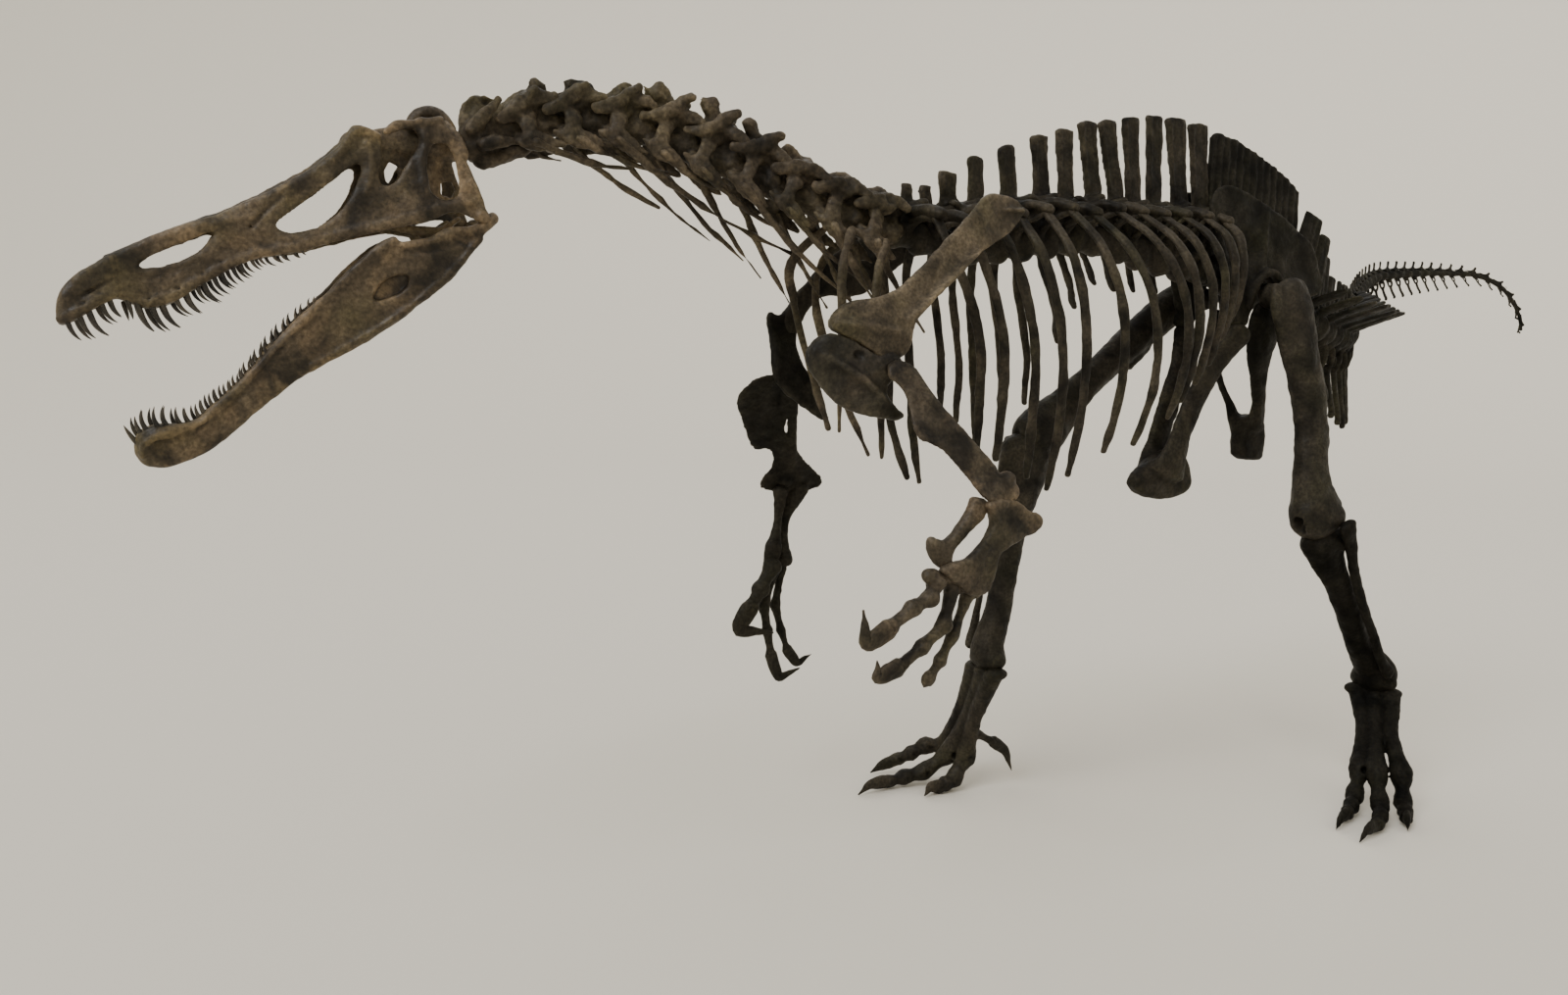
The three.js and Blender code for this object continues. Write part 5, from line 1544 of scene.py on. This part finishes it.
FINGERS = {
    "left": [
        ([
            (-2008, -556, 1160), (-2030, -558, 1112), (-2100, -560, 1086), (-2190, -562, 1028),
        ], (-2272, -565, 982), (-2290, -566, 1092), 34),
        ([
            (-1935, -548, 1140), (-1962, -546, 1018), (-2048, -548, 952), (-2136, -550, 900),
        ], (-2216, -552, 872), (-2222, -553, 928), 31),
        ([
            (-1862, -540, 1115), (-1912, -532, 978), (-1958, -530, 898), (-1994, -530, 850),
        ], (-2010, -530, 832), (-2018, -530, 818), 26),
    ],
    "right": [
        ([
            (-1896, 668, 1020), (-1955, 652, 935), (-2008, 642, 862),
        ], (-2072, 636, 780), (-1898, 640, 752), 40),
        ([
            (-1876, 688, 1005), (-1920, 682, 850), (-1902, 680, 752), (-1880, 680, 650),
        ], (-1842, 682, 548), (-1736, 684, 578), 27),
        ([
            (-1830, 705, 1005), (-1846, 716, 850), (-1812, 720, 740), (-1778, 722, 656),
        ], (-1726, 724, 588), (-1652, 726, 622), 24),
    ],
}


def finger_bones(clay, joints, size):
    """Bones end to end: each is thick at its ends and thin in its middle."""
    for k, (start, end) in enumerate(zip(joints[:-1], joints[1:])):
        thick = size * (1 - 0.07 * k)
        clay.limb([
            (*start, thick, thick), (*mix(start, end, 0.3), thick * 0.74, thick * 0.74),
            (*mix(start, end, 0.68), thick * 0.68, thick * 0.7),
            (*mix(start, end, 0.96), thick * 0.94, thick * 0.96),
        ], up=ACROSS, blend=4)
        for sign in (-1, 1):
            pit = np.array(end, float) + (0, sign * thick * 1.0, 0)
            clay.ball(pit, (thick * 0.34, thick * 0.4, thick * 0.34), cut=True, blend=4)


def claw(root, bend, tip, size, up=ACROSS):
    """A hooked claw: deep at its root, thin across and sharp."""
    rows = [
        (*root, size * 1.05, size * 0.72), (*mix(root, bend, 0.55), size * 1.0, size * 0.58),
        (*mix(bend, tip, 0.1), size * 0.78, size * 0.44), (*mix(bend, tip, 0.55), size * 0.44, size * 0.26),
        (*tip, size * 0.07, size * 0.05),
    ]
    return loft(rows, up=up, sides=12, per=5)


CARPALS = {
    "left": [
        ((-2030, -556, 1182), 34), ((-1965, -552, 1178), 36), ((-1900, -548, 1146), 34),
        ((-1838, -544, 1116), 26),
    ],
    "right": [((-1892, 676, 1036), 36), ((-1834, 698, 1036), 32), ((-1908, 672, 985), 34)],
}


def make_hand(side):
    everything = [p for joints, bend, tip, _ in FINGERS[side] for p in [*joints, bend, tip]]
    everything += [place for place, _ in CARPALS[side]]
    clay = Clay(*around(everything, 56), GRID["hand"])
    for place, size in CARPALS[side]:
        clay.ball(place, (size, size * 0.72, size * 0.8), blend=9)
    piece = Piece(f"hand_bones_{side}")
    for joints, bend, tip, size in FINGERS[side]:
        finger_bones(clay, joints, size)
        piece.add(claw(joints[-1], bend, tip, size))
    piece.add(clay.skin())
    piece.finish(ARM_TONE_AND_SHADE[side], "body_bone", [f"hand_{side}"], rough=ROUGH["hand"])


# Legs and feet

FEMUR_SHAPE = {
    "left": [
        (0.0, 14, 44, 84), (0.08, 18, 60, 100), (0.2, 24, 64, 94), (0.35, 42, 61, 86), (0.48, 50, 60, 82),
        (0.6, 38, 60, 80), (0.72, 8, 63, 85), (0.83, -8, 74, 102), (0.9, -4, 92, 126),
        (0.94, -6, 92, 124),
    ],
    "right": [
        (0.0, 0, 46, 84), (0.08, -12, 62, 92), (0.25, -32, 62, 80), (0.36, -38, 60, 76),
        (0.45, -36, 58, 70), (0.65, -26, 60, 72), (0.82, 0, 78, 98), (0.92, 6, 96, 118),
        (0.965, 4, 92, 112),
    ],
}


def make_femur(side):
    knee, sign = KNEE[side], SIDES[side]
    top = mirrored(side, (10, 262, 2238))

    def along(share, *sizes, shift=(0, 0, 0)):
        return (*(mix(top, knee, share) + shift), *sizes)

    clay = Clay(*around([top, knee, mirrored(side, ACETABULUM)], 190), GRID["femur"])
    clay.limb(
        [along(share, w, h, shift=(back, 0, 0)) for share, back, w, h in FEMUR_SHAPE[side]], up=(1, 0, 0.2)
    )
    head = np.array(mirrored(side, ACETABULUM), float)
    neck = mix(top, knee, 0.04)
    clay.limb([(*mix(neck, head, 0.2), 52, 56), (*mix(neck, head, 0.92), 50, 54)])
    clay.limb([
        along(0.0, 20, 28, shift=(-74, 0, 0)), along(0.1, 24, 28, shift=(-86, 0, 0)),
        along(0.24, 14, 16, shift=(-62, 0, 0)),
    ], up=BACKWARD, blend=14)
    clay.limb([
        along(0.36, 14, 20, shift=(90, -18 * sign, 0)), along(0.5, 12, 16, shift=(96, -18 * sign, 0)),
    ], up=BACKWARD, blend=14)
    for out in (-1, 1):
        clay.ball(mix(top, knee, 0.93) + (34, out * 58, 0), (66, 44, 58))
    clay.ball(mix(top, knee, 0.96) + (152, 0, 10), (40, 20, 56), cut=True)
    clay.ball(mix(top, knee, 0.97) + (-108, 0, 10), (34, 26, 56), cut=True)
    clay.ball(mix(top, knee, 0.9) + (20, sign * 116, 0), (46, 20, 60), cut=True, blend=20)
    cast(f"thigh_bone_{side}", clay, LEG, "dark_bone", [f"femur_{side}"], ROUGH["thigh"])


TIBIA_SHAPE = {
    "left": [(0.05, 80, 100), (0.12, 68, 86), (0.24, 54, 62), (0.5, 50, 58), (0.7, 54, 62)],
    "right": [
        (0.05, 90, 122), (0.14, 84, 118), (0.24, 74, 92), (0.36, 58, 64), (0.6, 54, 58), (0.75, 56, 62),
    ],
}

FIBULA_ROUTE = {
    "left": [
        (262, -452, 1252, 26, 44), (318, -432, 1180, 22, 32), (384, -408, 1080, 20, 26),
        (458, -402, 946, 19, 24), (530, -400, 832, 19, 23), (592, -397, 748, 19, 23),
        (655, -393, 653, 19, 23), (742, -386, 560, 24, 32),
    ],
    "right": [
        (-812, 462, 1556, 26, 46), (-832, 468, 1470, 20, 34), (-872, 474, 1290, 16, 22),
        (-906, 480, 1080, 14, 18), (-940, 482, 860, 14, 17), (-962, 482, 730, 17, 21),
        (-978, 480, 660, 24, 30),
    ],
}

ANKLE_WIDTH = {"left": 100, "right": 84}
SHIN_BOW = {"left": 16, "right": 6}


def make_shin(side):
    knee, ankle, sign = KNEE[side], np.array(ANKLE[side], float), SIDES[side]

    def along(share, *sizes, shift=(0, 0, 0)):
        return (*(mix(knee, ankle, share) + shift), *sizes)

    clay = Clay(*around([knee, ankle], 170), GRID["tibia"])
    up = (1, 0, 0.2)
    wide = ANKLE_WIDTH[side]
    back = SHIN_BOW[side]
    clay.limb([along(*row, shift=(back * math.sin(row[0] * math.pi), 0, 0)) for row in TIBIA_SHAPE[side]] + [
        (*(ankle + (0, 0, 96)), wide * 0.86, wide * 0.8), (*(ankle + (0, 0, 62)), wide, wide * 0.84),
    ], up=up)
    clay.limb([
        (*(ankle + (0, -wide * 0.7, 44)), 42, 40), (*(ankle + (0, wide * 0.7, 44)), 42, 40),
    ], up=(0, 0, 1))
    clay.limb([
        along(0.05, 22, 34, shift=(-94, 0, 0)), along(0.14, 20, 34, shift=(-90, 0, 0)),
        along(0.3, 14, 18, shift=(-52, 0, 0)),
    ], up=BACKWARD, blend=14)
    for out in (-1, 1):
        clay.ball(mix(knee, ankle, 0.06) + (34, out * 46, 0), (66, 42, 34))
    clay.ball(ankle + (0, -sign * 20, 100) + np.array((wide * 0.8, 0, 0)), (24, 30, 44), cut=True, blend=14)
    tone = LEG_TONE[side]
    cast(f"shin_bone_{side}", clay, tone, "dark_bone", [f"tibia_{side}"], ROUGH["shin"])

    rows = FIBULA_ROUTE[side]
    clay = Clay(*around([row[:3] for row in rows], 70), GRID["fibula"])
    clay.limb(rows, up=BACKWARD)
    cast(f"splint_bone_{side}", clay, tone, "dark_bone", [f"fibula_{side}"], ROUGH["splint"])


TOE_TIPS = {
    "left": [(105, -606, 6), (76, -732, 6), (375, -750, 6)],
    "right": [(-1205, 468, 6), (-1460, 604, 6), (-1246, 822, 6)],
}
FIRST_TOE = {
    "left": [(668, -392, 196), (700, -350, 140), (716, -322, 118), (690, -300, 95)],
    "right": [(-948, 448, 262), (-857, 442, 214), (-780, 442, 168), (-734, 440, 62)],
}

# Sideways spacing of the three long foot bones at the ankle, in the middle and at the toes
TOE_SPACING_ANKLE = 74
TOE_SPACING_MIDDLE = 62

TOE_SPACING_ROOT = 92
# How far each toe bows away from the body's middle
TOE_BOW = (10, 46, 8)
# How much the toes of each foot are lifted behind their tips
TOE_LIFT = {"left": (0, 0, 0), "right": (-18, -8, 105)}


def make_foot(side):
    ankle, root = np.array(ANKLE[side], float), np.array(TOE_ROOT[side], float)
    sign = SIDES[side]
    heading = np.array(TOE_TIPS[side][1], float) - root
    heading[2] = 0
    heading /= np.linalg.norm(heading)
    outward = np.array([heading[1], -heading[0], 0])
    outward *= math.copysign(1, outward[1] * sign)
    start = mix(ankle, root, 0.06)
    clay = Clay(*around([start, root, *FIRST_TOE[side], *TOE_TIPS[side]], 130), GRID["foot"])
    piece = Piece(f"foot_bones_{side}")
    up = (0, 0, 1)
    # A row of small ankle bones over the three long ones
    for spread in (-1, 0, 1):
        clay.ball(mix(ankle, root, 0.02) + outward * spread * TOE_SPACING_ANKLE, (52, 48, 26), blend=9)
    for toe, tip in enumerate(TOE_TIPS[side]):
        tip = np.array(tip, float)
        spread = (-0.78, 0, 1)[toe]
        lead = 26 if toe == 1 else -10
        top = start + outward * spread * TOE_SPACING_ANKLE
        waist = mix(start, root, 0.5) + outward * spread * TOE_SPACING_MIDDLE
        knuckle = root + outward * spread * TOE_SPACING_ROOT + heading * lead
        clay.limb([
            (*top, 46, 42), (*mix(top, waist, 0.5), 37, 36), (*waist, 33, 33),
            (*mix(waist, knuckle, 0.62), 36, 36),
            (*mix(waist, knuckle, 0.9), 45, 46), (*knuckle, 48, 48),
        ], up=BACKWARD, blend=6)
        for out in (-1, 1):
            clay.ball(knuckle + outward * out * 47, (16, 16, 16), cut=True, blend=8)
        bends = [knuckle]
        for share, height in ((0.25, 66), (0.45, 48), (0.62, 38)):
            spot = mix(knuckle, tip, share) + outward * TOE_BOW[toe] * math.sin(share * math.pi)
            spot[2] = height + TOE_LIFT[side][toe] * (1 - share)
            bends.append(spot)
        for k, (a, b) in enumerate(zip(bends[:-1], bends[1:])):
            thick = 44 - 5.5 * k
            clay.limb([
                (*mix(a, b, 0.14), thick, thick * 0.98), (*mix(a, b, 0.52), thick * 0.66, thick * 0.7),
                (*mix(a, b, 0.95), thick * 0.94, thick * 0.94),
            ], up=up, blend=4)
            for out in (-1, 1):
                clay.ball(mix(a, b, 0.97) + outward * out * thick * 0.98, (12, 12, 12), cut=True, blend=5)
        over = mix(knuckle, tip, 0.84) + outward * TOE_BOW[toe] * 0.4
        over[2] = 46
        piece.add(claw(bends[-1], over, tip + (0, 0, 4), 30, up=np.cross(heading, (0, 0, 1))))
    inner, middle, bend, tip = (np.array(spot, float) for spot in FIRST_TOE[side])
    clay.limb([(*inner, 24), (*mix(inner, middle, 0.5), 17), (*middle, 21)], up=up)
    piece.add(claw(middle, bend, tip, 27, up=outward))
    clay.field = np.maximum(
        clay.field, -(clay.low[2] + clay.step * np.arange(clay.shape[2]))[None, None, :] + 1,
    )
    piece.add(clay.skin())
    tone = LEG_TONE[side]
    piece.finish(tone, "dark_bone", [f"foot_{side}"], rough=ROUGH["foot"])


# Building everything

make_skull()
make_jaw()
tooth_row("upper_teeth", UPPER_TEETH, skull_half, SKULL_PITCH, 12)
tooth_row("lower_teeth", lower_teeth(), jaw_half, JAW_PITCH, 14)
make_neck()
make_back()
make_sacrum()
make_pubes()
make_ischia()
make_tail()
for side_name in SIDES:
    make_ilium(side_name)
    make_shoulder(side_name)
    make_humerus(side_name)
    make_forearm(side_name)
    make_hand(side_name)
    make_femur(side_name)
    make_shin(side_name)
    make_foot(side_name)


# Floor, lights and camera

def matte(name, colour):
    material = bpy.data.materials.new(name)
    material.use_nodes = True
    material.node_tree.nodes["Principled BSDF"].inputs["Base Color"].default_value = (*colour, 1)
    material.node_tree.nodes["Principled BSDF"].inputs["Roughness"].default_value = 0.9
    return material


def in_frame(point):
    return (np.array(point, float) + ORIGIN) * MM


# Floor and backdrop in metres
FLOOR_RADIUS = 22

COVE_RADIUS = 60

COVE_HEIGHT = 34


def add_stage():
    """A round pale floor that rises far away into a plain backdrop all round."""
    rings, sides = 40, 96
    points, faces = [(0, 0, 0)], []
    for ring in range(rings):
        share = ring / (rings - 1)
        radius = FLOOR_RADIUS + (COVE_RADIUS - FLOOR_RADIUS) * math.sin(share * math.pi / 2)
        height = COVE_HEIGHT * (1 - math.cos(share * math.pi / 2))
        for k in range(sides):
            angle = 2 * math.pi * k / sides
            points.append((radius * math.cos(angle), radius * math.sin(angle), height))
    for k in range(sides):
        after = (k + 1) % sides
        faces.append((0, 1 + k, 1 + after))
        for ring in range(rings - 1):
            low, high = 1 + ring * sides, 1 + (ring + 1) * sides
            faces.append((low + k, high + k, high + after, low + after))
    mesh = bpy.data.meshes.new("floor")
    mesh.from_pydata(points, [], faces)
    mesh.polygons.foreach_set("use_smooth", [True] * len(mesh.polygons))
    floor = bpy.data.objects.new("floor", mesh)
    bpy.context.scene.collection.objects.link(floor)
    mesh.materials.append(matte("pale_floor", (0.76, 0.72, 0.63)))
    world = bpy.data.worlds.new("studio")
    bpy.context.scene.world = world
    world.use_nodes = True
    world.node_tree.nodes["Background"].inputs["Color"].default_value = (1, 0.97, 0.92, 1)
    world.node_tree.nodes["Background"].inputs["Strength"].default_value = 0.75


def add_sun(name, travel, power, softness):
    """A very wide soft light that comes from far away along the given direction."""
    light = bpy.data.lights.new(name, "SUN")
    light.energy = power
    light.angle = math.radians(softness)
    thing = bpy.data.objects.new(name, light)
    bpy.context.scene.collection.objects.link(thing)
    thing.rotation_euler = Vector(travel).to_track_quat("-Z", "Y").to_euler()


def add_camera():
    camera = bpy.data.cameras.new("camera")
    camera.lens = LENS
    camera.sensor_width = SENSOR
    thing = bpy.data.objects.new("camera", camera)
    bpy.context.scene.collection.objects.link(thing)
    turn = Vector(LOOK).to_track_quat("-Z", "Y").to_matrix() @ Matrix.Rotation(ROLL, 3, "Z")
    thing.matrix_world = Matrix.Translation(Vector(in_frame(EYE))) @ turn.to_4x4()
    bpy.context.scene.camera = thing


add_stage()
add_sun("key", travel=(0.75, 0.28, -0.74), power=1.9, softness=32)
add_sun("rim", travel=(-0.45, -0.75, -0.6), power=0.5, softness=40)
add_camera()
